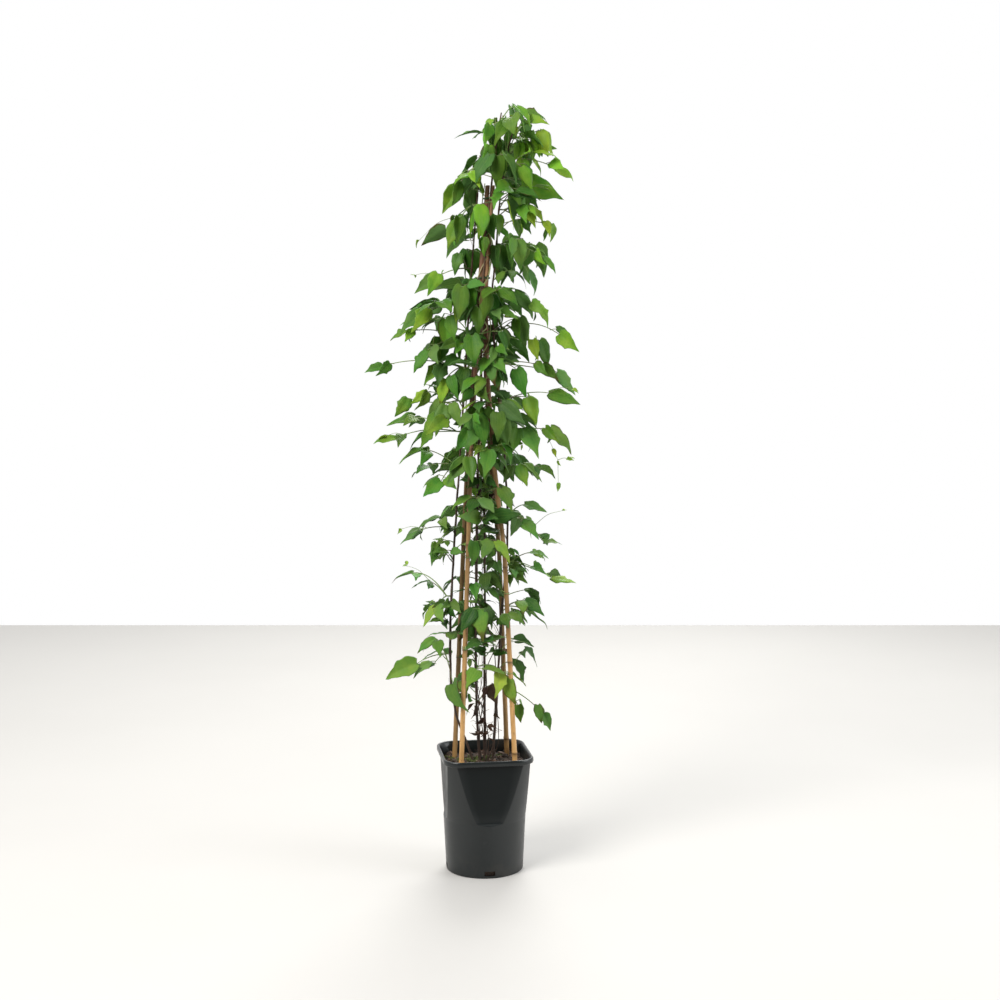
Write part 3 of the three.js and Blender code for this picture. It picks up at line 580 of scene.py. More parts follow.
def bark_paint():
    """Clematis stem: stringy bark with paler shreds, dark and old low down, browner higher up."""
    paint = Paint("stem_bark")
    strings = paint.noise(420, 4, 0.65, (1, 1, 0.06))
    old = paint.ramp(strings, (0.25, (0.015, 0.010, 0.008)), (0.55, (0.060, 0.036, 0.023)),
                     (0.85, (0.21, 0.14, 0.09)))
    old = paint.mix(paint.spread(paint.noise(24, 3), 0.5, 0.75), old, (0.075, 0.035, 0.028))
    young = paint.ramp(strings, (0.25, (0.035, 0.018, 0.010)), (0.55, (0.125, 0.068, 0.036)),
                       (0.85, (0.30, 0.20, 0.11)))
    return paint.set(Base_Color=paint.mix(paint.spread(paint.height(), 0.50, 0.90, 0, 0.8), old, young),
                     Roughness=paint.spread(strings, 0.2, 0.8, 0.9, 0.65),
                     Normal=paint.bump(strings, 0.8, 0.0012))


def bamboo_paint():
    """Dried bamboo: golden with long fibres, browner on some canes and higher up, where the brown is partly
    painted shade under the leaves, dark at the knuckles, and painted shade in the sawn hollow.
    """
    paint = Paint("bamboo_cane", Specular_IOR_Level=0.4)
    fibres = paint.noise(260, 5, 0.7, (1, 1, 0.025))
    stains = paint.noise(13, 4, 0.6, (1, 1, 0.5))
    specks = paint.noise(480, 2, 0.5, (1, 1, 0.3))
    gold = paint.ramp(fibres, (0.2, (0.36, 0.185, 0.06)), (0.5, (0.56, 0.315, 0.115)),
                      (0.8, (0.74, 0.47, 0.21)))
    brown = paint.ramp(fibres, (0.2, (0.10, 0.058, 0.022)), (0.55, (0.22, 0.13, 0.05)),
                       (0.85, (0.36, 0.24, 0.11)))
    red = paint.ramp(fibres, (0.2, (0.085, 0.035, 0.018)), (0.55, (0.19, 0.085, 0.045)),
                     (0.85, (0.42, 0.25, 0.15)))
    brown = paint.mix(paint.spread(paint.height(), 0.62, 0.86), brown, red)
    # Stains, each cane's browning and, higher up, painted shade under the leaves all make it browner
    worn = paint.math("ADD", paint.value("age"), (stains - 0.5) * 1.3, clamp=True)
    tone = paint.mix(worn, gold, brown)
    tone = paint.mix(paint.spread(specks, 0.62, 0.75) * 0.45, tone, (0.07, 0.035, 0.015))
    # Dark rings at the knuckles, and painted shade inside the sawn hollow
    tone = paint.mix(paint.value("ring") * 0.8, tone, (0.085, 0.042, 0.018))
    roughness = paint.spread(fibres, 0.2, 0.8, 0.36, 0.5) + worn * 0.16
    return paint.set(Base_Color=tone, Roughness=roughness,
                     Normal=paint.bump(fibres + specks * 0.3, 0.35, 0.0006))


def pot_paint():
    """Charcoal plastic with a satin sheen, duller on the flat panels and painted darker there as painted
    shade, with scuffs and dust at the foot.
    """
    paint = Paint("pot_plastic")
    flow, grain = paint.noise(9, 3, 0.5, (1, 1, 0.35)), paint.noise(700, 3, 0.6)
    scuff = paint.noise(60, 5, 0.7)
    dust = paint.spread(paint.height(), 0.05, 0.0) * paint.spread(paint.noise(45, 4), 0.42, 0.7)
    panel = paint.value("panel")
    tone = paint.mix(flow, (0.0038, 0.0063, 0.0068), (0.0073, 0.0109, 0.0115))
    tone = paint.mix(paint.spread(scuff, 0.6, 0.8) * 0.25, tone, (0.035, 0.038, 0.038))
    tone = paint.mix(dust * 0.12, tone, (0.12, 0.10, 0.08))
    # Painted shade: the flat panels are painted darker than the round parts
    tone = paint.mix(panel * 0.5, tone, (0.0030, 0.0042, 0.0042))
    roughness = paint.spread(scuff, 0.35, 0.8, 0.28, 0.40) + dust * 0.2 + panel * 0.12
    return paint.set(Base_Color=tone, Roughness=roughness,
                     Specular_IOR_Level=paint.spread(panel, 0.0, 1.0, 0.5, 0.2),
                     Normal=paint.bump(grain * 0.4 + flow * 4, 0.08, 0.0004))


def soil_paint():
    """Moist dark compost."""
    paint = Paint("compost", Roughness=0.92)
    clods, crumbs = paint.noise(70, 6, 0.7), paint.cells(420)
    tone = paint.ramp(clods, (0.3, (0.010, 0.006, 0.004)), (0.55, (0.032, 0.018, 0.011)),
                      (0.8, (0.085, 0.052, 0.033)))
    tone = paint.mix(paint.spread(crumbs, 0.3, 0.7) * 0.4, tone, (0.055, 0.033, 0.02))
    return paint.set(Base_Color=tone, Normal=paint.bump(clods + crumbs * 0.5, 0.9, 0.002))


def chip_paint():
    """Bark chips: red brown to grey, by their tint."""
    paint = Paint("bark_chip", Roughness=0.88)
    fibres = paint.noise(330, 4, 0.7, (1, 0.3, 1))
    tone = paint.ramp(paint.value("tint") + (fibres - 0.5) * 0.5,
                      (0.0, (0.016, 0.010, 0.007)), (0.5, (0.065, 0.038, 0.024)),
                      (0.8, (0.17, 0.098, 0.060)), (1.0, (0.33, 0.22, 0.145)))
    return paint.set(Base_Color=tone, Normal=paint.bump(fibres, 0.7, 0.0012))


def moss_paint():
    """Moss and algae on the compost."""
    paint = Paint("moss", Roughness=0.95)
    fluff = paint.noise(500, 5, 0.7)
    tone = paint.ramp(fluff, (0.25, (0.020, 0.026, 0.007)), (0.55, (0.075, 0.095, 0.020)),
                      (0.85, (0.17, 0.20, 0.048)))
    return paint.set(Base_Color=tone, Normal=paint.bump(fluff, 0.9, 0.001))


def tie_paint():
    """Dark green plastic coat on a wire."""
    paint = Paint("tie_coat", Specular_IOR_Level=0.5)
    marks = paint.noise(300)
    return paint.set(Base_Color=paint.mix(marks, (0.014, 0.045, 0.014), (0.045, 0.11, 0.04)),
                     Roughness=paint.spread(marks, 0.3, 0.7, 0.35, 0.55),
                     Normal=paint.bump(marks, 0.25, 0.0003))


def floor_paint():
    """A plain pale floor."""
    paint = Paint("pale_floor", Roughness=0.75)
    return paint.set(Base_Color=paint.mix(paint.noise(1.3), (0.50, 0.49, 0.475), (0.55, 0.54, 0.525)),
                     Normal=paint.bump(paint.noise(90), 0.08, 0.0006))


MATERIALS = {
    "green": leaf_paint("leaf_green", (0.026, 0.083, 0.007), (0.092, 0.248, 0.014), (0.27, 0.49, 0.020),
                        (0.130, 0.250, 0.090), (0.25, 0.40, 0.07)),
    "young": leaf_paint("leaf_young", (0.09, 0.22, 0.012), (0.20, 0.38, 0.014), (0.42, 0.58, 0.025),
                        (0.26, 0.40, 0.08), (0.45, 0.60, 0.14), 0.32),
    "dry": leaf_paint("leaf_dry", (0.028, 0.014, 0.009), (0.080, 0.042, 0.025), (0.20, 0.12, 0.075),
                      (0.12, 0.072, 0.046), (0.18, 0.11, 0.07), 0.06),
    "stalk": stalk_paint("leaf_stalk", (0.16, 0.27, 0.055), (0.10, 0.055, 0.035), (0.30, 0.36, 0.14)),
    "twiner": stalk_paint("pale_shoot", (0.34, 0.42, 0.12), (0.40, 0.32, 0.16), (0.62, 0.60, 0.34)),
    "bark": bark_paint(),
    "bamboo": bamboo_paint(),
    "pot": pot_paint(),
    "soil": soil_paint(),
    "chip": chip_paint(),
    "moss": moss_paint(),
    "tie": tie_paint(),
}


# Pot
def pot_reach(height):
    """How far the body's corners reach."""
    return read_off([[SHOULDER, SHOULDER_RADIUS], [UNDER_RIM, BODY_REACH]], height, 1)


def pot_half(height):
    """How far out the body's flats stand."""
    if height < FLAT_FOOT:
        return read_off([[SHOULDER, SHOULDER_RADIUS], [FLAT_FOOT, FLAT_FOOT_HALF]], height, 1)
    return read_off([[FLAT_FOOT, FLAT_FOOT_HALF], [UNDER_RIM, BODY_HALF]], height, 1)


def corner_angles(flat_end):
    """Angles of a ring's corners, doubled up on both sides of where its flats end."""
    flat = np.arctan(np.linspace(-1, 1, FLAT_STEPS + 1) * math.tan(flat_end - CREASE_TURN))
    arc = np.linspace(flat_end + CREASE_TURN, math.pi / 2 - flat_end - CREASE_TURN, ARC_STEPS + 1)
    quarter = np.concatenate([flat, arc])
    return np.concatenate([quarter + side * math.pi / 2 for side in range(4)])


def quarter_turn(angles):
    """Each angle's turn away from the nearest flat's middle."""
    return (angles + math.pi / 4) % (math.pi / 2) - math.pi / 4


def ring_at(far, angles, height):
    """Corners of a level ring about the middle."""
    return np.stack([far * np.cos(angles), far * np.sin(angles), np.full(len(angles), height)], -1)


def body_ring(height, inset=0.0):
    """A ring round the body: a circle at the foot, and above it a cone cut by four flats."""
    if height <= SHOULDER:
        angles = corner_angles(LEAST_FLAT)
        radius = FOOT_RADIUS + (SHOULDER_RADIUS - FOOT_RADIUS) * height / SHOULDER
        return ring_at(np.full(RING_COUNT, radius - inset), angles, height)
    half, reach = pot_half(height), pot_reach(height)
    angles = corner_angles(max(math.acos(half / reach), LEAST_FLAT))
    far = np.minimum(half / np.cos(quarter_turn(angles)), reach)
    return ring_at(far - inset, angles, height)


def rim_ring(half, height, reach_back=0.0):
    """A ring round the rim: a square with round corners."""
    reach = half + RIM_REACH - RIM_HALF - reach_back
    corner = (half * math.sqrt(2) - reach) / (math.sqrt(2) - 1)
    middle = half - corner
    angles = corner_angles(math.atan(middle / half))
    turn = np.abs(quarter_turn(angles))
    inward = middle * (np.cos(turn) + np.sin(turn))
    round_far = inward + np.sqrt(np.maximum(inward**2 - 2 * middle**2 + corner**2, 0))
    far = np.where(half * np.tan(turn) <= middle, half / np.cos(turn), round_far)
    return ring_at(far, angles, height)


# Rim's cross-section: height above the body, half width, and how much less its corners reach
RIM_PROFILE = [
    (0.35, 70.2, 0), (0.3, 73.6, 0), (0.7, 74.5, 0), (1.6, 75, 0), (6.2, 75, 0), (7.5, 74.75, 0),
    (8.5, 74.1, 0), (9, 73.1, 0), (8.9, 72.1, 0.3), (8.3, 71.2, 0.6), (7.2, 70.4, 0.6), (4.5, 69.3, 0.6),
]

# Faces of the boxes that cut the slots
SLOT_SIDES = [[0, 1, 3, 2], [4, 6, 7, 5], [0, 4, 5, 1], [2, 3, 7, 6], [0, 2, 6, 4], [1, 5, 7, 3]]


def build_pot():
    """The pot, from its foot up the outside, over the rolled rim and down the inside."""
    edges = [SHOULDER - 1, SHOULDER + 0.4, SHOULDER + 1.2, FLAT_FOOT - 0.9, FLAT_FOOT - 0.3, FLAT_FOOT + 0.4]
    heights = sorted([*np.linspace(3, 84, 15), *np.linspace(98, UNDER_RIM, 16), *edges])
    rings = [body_ring(0, 1.0), body_ring(0.3, 0.35), body_ring(1.1)]
    panel = [np.zeros(RING_COUNT)] * 3
    rings += [body_ring(z) for z in heights]
    # How dull the flats are and how much painted shade they get: most at their middles and higher up
    inward = 1 - np.abs(np.linspace(-1, 1, FLAT_STEPS + 1))
    quarter = np.concatenate([0.55 + 0.45 * ease(inward, 0, 0.4), np.zeros(ARC_STEPS + 1)])
    for z in heights:
        panel.append(np.tile(quarter, 4) * (z > FLAT_FOOT) * (0.6 + 0.4 * ease(z, FLAT_FOOT, 120)))
    rings += [rim_ring(half, UNDER_RIM + rise, back) for rise, half, back in RIM_PROFILE]
    rings += [body_ring(z, WALL) for z in [*heights[::-1], FLOOR + 1.2]]
    rings.append(body_ring(FLOOR, WALL + 1.2))
    skin = Skin("panel")
    points = np.concatenate(rings + [[[0, 0, 0.3], [0, 0, FLOOR]]])
    panel_dull_and_shade = np.concatenate(panel)
    panel_dull_and_shade = np.concatenate([panel_dull_and_shade, np.zeros(len(points) - len(panel_dull_and_shade))])
    skin.add(points, rings_to_faces(len(rings), RING_COUNT), panel=panel_dull_and_shade)
    pot = skin.build("pot_body", ["pot"], "pot_plastic", "pot")
    cut_slots(pot)


def cut_slots(pot):
    """Cuts a slot low through each side, and marks the pot's sharp edges."""
    cutter = Skin()
    for side in range(4):
        turn = Matrix.Rotation(side * math.pi / 2, 3, "Z")
        corners = [turn @ Vector((x, y, z)) for x in SLOT_CUT for y in (-SLOT_WIDTH / 2, SLOT_WIDTH / 2)
                   for z in (SLOT_FOOT, SLOT_FOOT + SLOT_HEIGHT)]
        cutter.add([tuple(c) for c in corners], [SLOT_SIDES])
    tool = cutter.build("slot_cutter", ["pot"], "pot_plastic")
    cut = pot.modifiers.new("slots", "BOOLEAN")
    cut.object = tool
    cut.operation = "DIFFERENCE"
    cut.solver = "EXACT"
    bpy.context.view_layer.update()
    cut_mesh = bpy.data.meshes.new_from_object(pot.evaluated_get(bpy.context.evaluated_depsgraph_get()))
    pot.modifiers.clear()
    pot.data = cut_mesh
    bpy.data.objects.remove(tool)
    pot.data.set_sharp_from_angle(angle=SHARP_EDGE)


# Soil
def soil_height(x, y):
    """The frame's own soil: a low mound with lumps."""
    lumps = math.sin(x / 8.5 + 1) * math.cos(y / 10) + 0.6 * math.sin((x + y) / 5.3)
    mound = SOIL_MOUND * math.exp(-(x * x + y * y) / 1400)
    return SOIL_TOP + SOIL_RELIEF * lumps + mound


def soil_surface(x, y):
    """The soil's fine surface: the frame's lumps with crumbs on them."""
    spot = Vector((x, y, 0))
    crumbs = 1.4 * noise.noise(spot / 6) + 0.8 * noise.noise(spot / 2.6 + UP * 9)
    return soil_height(x, y) + crumbs


def build_soil():
    """The filling, closed below, its top one surface of rings that shrink to the middle."""
    levels = (FLOOR + SOIL_GAP, SHOULDER, FLAT_FOOT, 140, 172)
    rings = [body_ring(z, WALL + SOIL_GAP) for z in levels]
    edge = body_ring(SOIL_TOP, WALL + SOIL_GAP)
    for share in np.linspace(1, 0.03, SOIL_RINGS):
        ring = edge * [share, share, 0]
        ring[:, 2] = [soil_surface(x, y) for x, y in ring[:, :2]]
        rings.append(ring)
    points = np.concatenate(rings + [[[0, 0, FLOOR + SOIL_GAP], [0, 0, soil_surface(0, 0)]]])
    skin = Skin()
    skin.add(points, rings_to_faces(len(rings), RING_COUNT))
    skin.build("soil_fill", ["soil"], "soil", "soil")


def inside_pot(x, y, spare):
    """True where a thing this wide lies clear of the pot's wall and of the canes."""
    half, reach = pot_half(SOIL_TOP) - WALL - spare, pot_reach(SOIL_TOP) - WALL - spare
    if abs(x) > half or abs(y) > half or math.hypot(x, y) > reach:
        return False
    return all(math.hypot(x - sx * 45, y - sy * 45) > 4 + spare for sx, sy in CORNERS.values())


# Corners of a chip before it is worn, and its faces
CHIP_CORNERS = np.array([[-1, -1, -1], [1, -1, -1], [1, 1, -1], [-1, 1, -1],
                         [-1, -1, 1], [1, -1, 1], [1, 1, 1], [-1, 1, 1]]) / 2
CHIP_SIDES = [[0, 3, 2, 1], [4, 5, 6, 7], [0, 1, 5, 4], [1, 2, 6, 5], [2, 3, 7, 6], [3, 0, 4, 7]]


def build_chips():
    """Bark chips, crumbs and grit strewn over the soil."""
    random = draws("chips")
    skin = Skin("tint")
    made = 0
    while made < CHIPS:
        x, y = random.uniform(-70, 70, 2)
        large = made < LARGE_CHIPS
        length = random.uniform(5, 16) if large else random.uniform(1.6, 4.2)
        if not inside_pot(x, y, length / 2 + 0.5):
            continue
        width = length * random.uniform(0.35, 0.6)
        size = np.array([length, width, random.uniform(0.9, 2.6) if large else length * 0.5])
        corners = CHIP_CORNERS * (random.uniform(0.62, 1.0, (8, 1)) * size)
        turn = Matrix.Rotation(random.uniform(0, 6.28), 3, "Z")
        turn = turn @ Matrix.Rotation(random.normal(0, 0.35), 3, "X")
        turn = turn @ Matrix.Rotation(random.normal(0, 0.25), 3, "Y")
        points = corners @ np.array(turn).T + [x, y, soil_surface(x, y) + size[2] * 0.3]
        skin.add(points, [CHIP_SIDES], smooth=False, tint=random.beta(1.6, 2.2))
        made += 1
    skin.build("bark_chips", ["chip"], "soil")


def build_moss():
    """Low cushions of moss, most of them a little left of the middle."""
    random = draws("moss")
    skin = Skin()
    for _ in range(MOSS_TUFTS):
        cx, cy = MOSS_SPOTS[random.choice(len(MOSS_SPOTS), p=MOSS_SHARES)]
        x, y = cx + random.normal(0, 10), cy + random.normal(0, 4)
        if not inside_pot(x, y, 2):
            continue
        lean = random.normal(0, 0.5, 2)
        foot = np.array([x, y, soil_surface(x, y) - 0.5])
        tip = foot + [lean[0] * 1.5, lean[1] * 1.5, random.uniform(2.2, 4.2)]
        skin.add_tube([foot, (foot + tip) / 2, tip], [1.3, 1.2, 0.4], 5)
    skin.build("moss_tufts", ["moss"], "soil")


# Canes
def cane_spread(height):
    """Half the canes' spacing."""
    return read_off(CANE_GATHER, min(max(height, CANE_FOOT), CANE_TOP), 1)


def cane_lean(height):
    """How far the canes' middle has moved."""
    return RIGHT * read_off(CANE_GATHER, min(max(height, CANE_FOOT), CANE_TOP), 2)


def cane_point(corner, height):
    """The middle of one cane."""
    spread = cane_spread(height)
    return Vector((corner[0] * spread, corner[1] * spread, height)) + cane_lean(height)


def cane_radius(height):
    """Canes taper towards the top."""
    share = (height - CANE_FOOT) / (CANE_TOP - CANE_FOOT)
    return CANE_RADIUS_FOOT + (CANE_RADIUS_TOP - CANE_RADIUS_FOOT) * share


def knuckle_heights(number):
    """Where a cane's knuckles are, a little unevenly spaced."""
    shares = [(k + 0.5 + 0.12 * math.sin(number * 2.4 + k)) / CANE_KNUCKLES for k in range(CANE_KNUCKLES)]
    return [CANE_FOOT + (CANE_TOP - CANE_FOOT) * share for share in shares]


# A cane's sawn end, from its edge into the hollow: how far in, how far down, and how much painted shade
CANE_MOUTH = [(1.1, 0, 0.1), (1.25, 0.4, 0.6), (1.4, 9, 1)]


def build_cane(name, number):
    """A bamboo cane with its knuckles, a bud scar on each, and a hollow sawn top, painted dark inside as
    painted shade.
    """
    corner = CORNERS[name]
    knuckles = knuckle_heights(number)
    heights = set(np.arange(CANE_FOOT, CANE_TOP - 3, 9.0)) | {k + d for k in knuckles for d in KNUCKLE_RINGS}
    heights = sorted(heights | {CANE_TOP - 1.0, CANE_TOP})
    angles = round_angles(CANE_SIDES)
    rings, knuckle_dark_and_hollow_shade = [], []
    for height in heights:
        nearest = min(range(len(knuckles)), key=lambda k: abs(knuckles[k] - height))
        gap = height - knuckles[nearest]
        ridge = 0.5 * hump(gap, 0, 1.1) + 0.32 * hump(gap, 2.6, 1.3)
        ridge += 0.25 * hump(gap, 0, 7) - 0.12 * hump(gap, -2.2, 0.8)
        scar_side = nearest * 2.4 + number
        scar = hump((angles - scar_side + math.pi) % FULL_TURN - math.pi, 0, 0.35)
        groove = -0.22 * scar * hump(gap, 22, 22) + 0.5 * scar * hump(gap, 3, 1.8)
        middle = cane_point(corner, height)
        wobble = [0.25 * noise.noise(Vector((number * 7 + side, height / 60, 0))) for side in (0, 3)]
        radius = cane_radius(height) - (0.25 if height == CANE_TOP else 0) + ridge + groove
        radius += 0.05 * np.sin(3 * angles + number) * math.sin(height / 40)
        rings.append(ring_at(radius, angles, height) + [middle.x + wobble[0], middle.y + wobble[1], 0])
        knuckle_dark_and_hollow_shade += [min(1, hump(gap, 0.4, 1.5) + 0.4 * hump(gap, -3, 2.5))] * CANE_SIDES
    foot, top = cane_point(corner, CANE_FOOT), cane_point(corner, CANE_TOP)
    # Rings down into the hollow, painted darker the deeper they go: painted shade
    for inset, drop, dark in CANE_MOUTH:
        reach = cane_radius(CANE_TOP) - inset
        rings.append(ring_at(reach, angles, CANE_TOP - drop) + [top.x, top.y, 0])
        knuckle_dark_and_hollow_shade += [dark] * CANE_SIDES
    ends = [tuple(foot), (top.x, top.y, CANE_TOP - 9)]
    levels = np.concatenate([ring[:, 2] for ring in rings] + [[0, CANE_TOP]])
    # Browner from 280 mm up, where the leaves cover the canes: partly painted shade under the leaves
    age = CANE_BROWNING[name] + 0.7 * ease(levels, 280, 460) + 0.2 * ease(levels, 560, 860)
    skin = Skin("age", "ring")
    faces = rings_to_faces(len(rings), CANE_SIDES)
    skin.add(np.concatenate(rings + [ends]), faces, age=age, ring=knuckle_dark_and_hollow_shade + [0, 1])
    skin.build(f"bamboo_{name}", ["bamboo"], "bamboo", f"cane_{name}")


def build_tie(name):
    """A coated wire round the four canes, its ends twisted together and cut off."""
    height = TIE_HEIGHTS[name]
    spread, lean = cane_spread(height), cane_lean(height)
    offset = cane_radius(height) + KNUCKLE_RISE + TIE_GAP + TIE_RADIUS
    skin = Skin()
    for turn in (-1, 1):
        loop = []
        for step in range(TIE_STEPS + 1):
            angle = step / TIE_STEPS * FULL_TURN
            corner = math.floor(angle / (math.pi / 2)) + 0.5
            share = (angle / (math.pi / 2)) % 1
            soft = ease(share, 0, 1)
            here = pointing(corner * math.pi / 2) * math.sqrt(2) * spread
            rise = turn * 0.9 * math.cos(angle * 0.5 + 0.6) + 0.3 * math.sin(3 * angle)
            bend = (corner - 0.5 + soft * 0.2 + share * 0.8) * math.pi / 2
            loop.append(here + lean + pointing(bend) * offset + UP * (height + rise))
        skin.add_tube(loop, TIE_RADIUS * 0.72, 8)
    front = Vector((0, -(spread + offset), height)) + lean
    for way in (0, math.pi):
        twist = []
        for step in range(TWIST_STEPS + 1):
            share = step / TWIST_STEPS
            angle = way + share * 5 * math.pi
            axis = front + Vector((share * 5.2, -share * 11, share * 3.2))
            reach = 0.75 + 0.6 * max(0, share - 0.8)
            twist.append(axis + Vector((math.cos(angle), 0, math.sin(angle))) * reach)
        skin.add_tube(twist, 0.6, 6)
    skin.build(f"wire_{name}", ["tie"], "tie_plastic", name)


# Climbing stems
STEM_LINES = {name: curve_through([seen(*place) for place in places], STEM_STEPS)
              for name, places in STEMS.items()}


def stem_radius(share):
    """Stems taper towards the tip."""
    return STEM_RADIUS_FOOT + (STEM_RADIUS_TOP - STEM_RADIUS_FOOT) * share


def stem_at(name, height):
    """Place, direction and radius of a stem at a height."""
    points = STEM_LINES[name]
    i = 1
    while i < len(points) - 1 and points[i].z < height:
        i += 1
    share = (height - points[i - 1].z) / (points[i].z - points[i - 1].z)
    centre = points[i - 1].lerp(points[i], share)
    return centre, (points[i] - points[i - 1]).normalized(), stem_radius((i - 1 + share) / STEM_STEPS)


def nearest_stem(place, height):
    """The stem that passes nearest to a place, at a height."""
    return min(STEM_LINES, key=lambda name: (stem_at(name, height)[0] - place).length)


def build_stem(name, number):
    """A woody stem: furrowed, swollen where shoots leave it, with loose strings of bark."""
    random = draws("stems", number)
    path = []
    for step in range(BARK_STEPS + 1):
        straight = on_path(STEM_LINES[name], step / BARK_STEPS)
        spot = Vector((number * 5, straight.z / 38, 0))
        sway = Vector((noise.noise(spot), noise.noise(spot + UP * 7), 0)) * 0.9
        path.append(straight + sway)
    nodes = [shoot[1] for shoot in SHOOTS if shoot[0] == name]
    knots = [sum(hump(p.z, node, 5) for node in nodes) for p in path]
    radius = [stem_radius(i / BARK_STEPS) * (0.93 + 0.09 * noise.noise(p / 17)) + 0.45 * min(k, 1)
              for i, (p, k) in enumerate(zip(path, knots))]

    def furrows(share, angles):
        fade = 1 - 0.5 * share
        return 1 + fade * (0.10 * np.cos(6 * angles + share * 40) + 0.05 * np.cos(11 * angles - share * 65))

    skin = Skin()
    skin.add_tube(path, radius, 14, swell=furrows)
    for _ in range(BARK_STRINGS):
        start = int(random.integers(14, BARK_STEPS - 60))
        length = int(random.integers(8, 26))
        angle = random.uniform(0, 6.28)
        string = []
        for k in range(length):
            lift = radius[start + k] * 0.95 + 0.25 + 1.8 * max(0, k / length - 0.55) ** 2 * 6
            turn = angle + k * 0.07
            string.append(path[start + k] + pointing(turn) * lift)
        skin.add_tube(string, (0.3, 0.13), 5)
    skin.build(f"woody_{name}", ["bark"], "stem_wood", f"stem_{name}")


# Leaf blades
class Leaf:
    """A blade's place and form."""

    def __init__(self, foot, root, along, upper, length, arch, fold):
        self.foot, self.root, self.along, self.upper = foot, root, along, upper
        self.length, self.arch, self.fold = length, arch, fold

    def point(self, share, out, lift):
        """The frame's own blade surface."""
        side = self.upper.cross(self.along)
        y = out * self.length * BLADE_WIDTH / 2
        z = lift + self.fold * abs(y) - self.arch * self.length * share * share
        return self.root + self.along * (share * self.length) + side * y + self.upper * z


def leaflet_at(path, size, pitch, roll, station, draw):
    """Where a leaflet goes, by its try's draw of numbers."""
    along, turn, stalk = STATIONS[station]
    out = path[-1] - path[-2]
    out.z = 0
    out.normalize()
    heading = turned(out, UP, math.radians(turn + TURN_SPREAD * (draw() - 0.5)))
    drop = math.radians(pitch + PITCH_SPREAD * (draw() - 0.5))
    length = size * (0.84 + 0.3 * draw()) * (0.9 if stalk else 1)
    foot = on_path(path, along)
    root = foot + heading * (0.95 * stalk * size) + UP * (0.12 * stalk * size)
    blade = heading * math.cos(drop) - UP * math.sin(drop)
    flat = heading * math.sin(drop) + UP * math.cos(drop)
    front = -1 if root.dot(AWAY) < 12 else 1
    leaning = flat.cross(blade).dot(AWAY) * front
    towards = 1 if leaning >= 0 else -1
    bank = math.radians(towards * roll + ROLL_SPREAD * (draw() - 0.5))
    upper = turned(flat, blade, -bank)
    arch = 0.08 + 0.2 * draw()
    fold = 0.08 + 0.3 * draw()
    return Leaf(foot, root, blade, upper, length, arch, fold)


def bow(knot, hub, way, steps):
    """A leaf stalk's path from the shoot's knot to the leaf's hub."""
    rise, sway = BOWS[way]
    reach = (hub - knot).length
    sideways = (hub - knot).cross(UP).normalized()
    control = knot.lerp(hub, 0.5) + UP * (rise * reach) + sideways * (sway * reach)
    shares = [step / steps for step in range(steps + 1)]
    return [knot * (1 - t) ** 2 + control * (2 * t * (1 - t)) + hub * t * t for t in shares]


def placed_leaflets(knot, row, serial, tree):
    """Which way and which tries the frame's shoot was built with, told by its leaf tips."""
    hub = seen(row[0], row[1], row[2])
    for way in range(len(BOWS)):
        path = bow(knot, hub, way, 3)
        found = []
        for station in range(row[3]):
            for go in range(LEAFLET_TRIES):
                draw = seeded(serial * 7919 + way * 613 + station * 101 + go * 17 + 3)
                leaf = leaflet_at(path, row[4], row[5], row[6], station, draw)
                tips = [leaf.point(1, 0, face * BLADE_THICKNESS / 2) for face in (1, -1)]
                if all(tree.find(tip)[2] < TIP_MATCH for tip in tips):
                    found.append((station, leaf))
                    break
            if not found:
                break
        if found:
            return way, found
    return 0, []


# A fine blade's rows from foot to tip, and its columns from edge to edge
BLADE_ROWS = np.array([0.03, 0.08, 0.14, 0.21, 0.29, 0.37, 0.45, 0.53, 0.61, 0.69, 0.77, 0.84, 0.90,
                       0.95, 0.985])
BLADE_COLUMNS = np.array([-1, -0.87, -0.70, -0.53, -0.36, -0.18, 0, 0.18, 0.36, 0.53, 0.70, 0.87, 1])
VEIN_COLUMNS = (0, *SIDE_VEINS)


def blade_faces():
    """Faces of a thin blade: an upper and a lower side that share their edge, closed at root and tip."""
    rows, columns = len(BLADE_ROWS), len(BLADE_COLUMNS)
    top = np.arange(rows * columns).reshape(rows, columns)
    under = top.copy()
    under[:, 1:-1] = rows * columns + np.arange(rows * (columns - 2)).reshape(rows, columns - 2)
    root = rows * columns + rows * (columns - 2)
    tip = root + 1
    quads = [np.stack([top[:-1, :-1], top[1:, :-1], top[1:, 1:], top[:-1, 1:]], -1).reshape(-1, 4),
             np.stack([under[:-1, :-1], under[:-1, 1:], under[1:, 1:], under[1:, :-1]], -1).reshape(-1, 4)]
    fans = []
    for j in range(columns - 1):
        fans += [[root, top[0, j], top[0, j + 1]], [root, under[0, j + 1], under[0, j]],
                 [top[-1, j], tip, top[-1, j + 1]], [under[-1, j + 1], tip, under[-1, j]]]
    return [np.concatenate(quads), np.array(fans)]


BLADE_FACES = blade_faces()


def blade_outline(u, v, random, lobed):
    """Half width of an egg-shaped, pointed blade, as a share of its widest, here and there toothed."""
    width = np.sin(math.pi * np.clip(u, 0, 1) ** random.uniform(0.53, 0.68)) ** random.uniform(0.74, 0.92)
    width *= random.uniform(0.86, 1.04) * (1 - 0.16 * u)
    width *= 1 - random.uniform(0.18, 0.34) * ease(u, 0.60, 0.86) + 0.25 * ease(u, 0.8, 1.0)
    for side in (-1, 1):
        if random.random() < lobed:
            spot, height = random.uniform(0.3, 0.58), random.uniform(0.14, 0.36)
            tooth = hump(u - spot, 0, 0.06) - 0.6 * hump(u - spot, 0.14, 0.07)
            width = width * (1 + height * tooth * (v * side > 0))
    ripple = 0.045 * np.sin(u * random.uniform(17, 27) + random.uniform(0, 6) + 2 * (v > 0))
    return width * (1 + ripple)


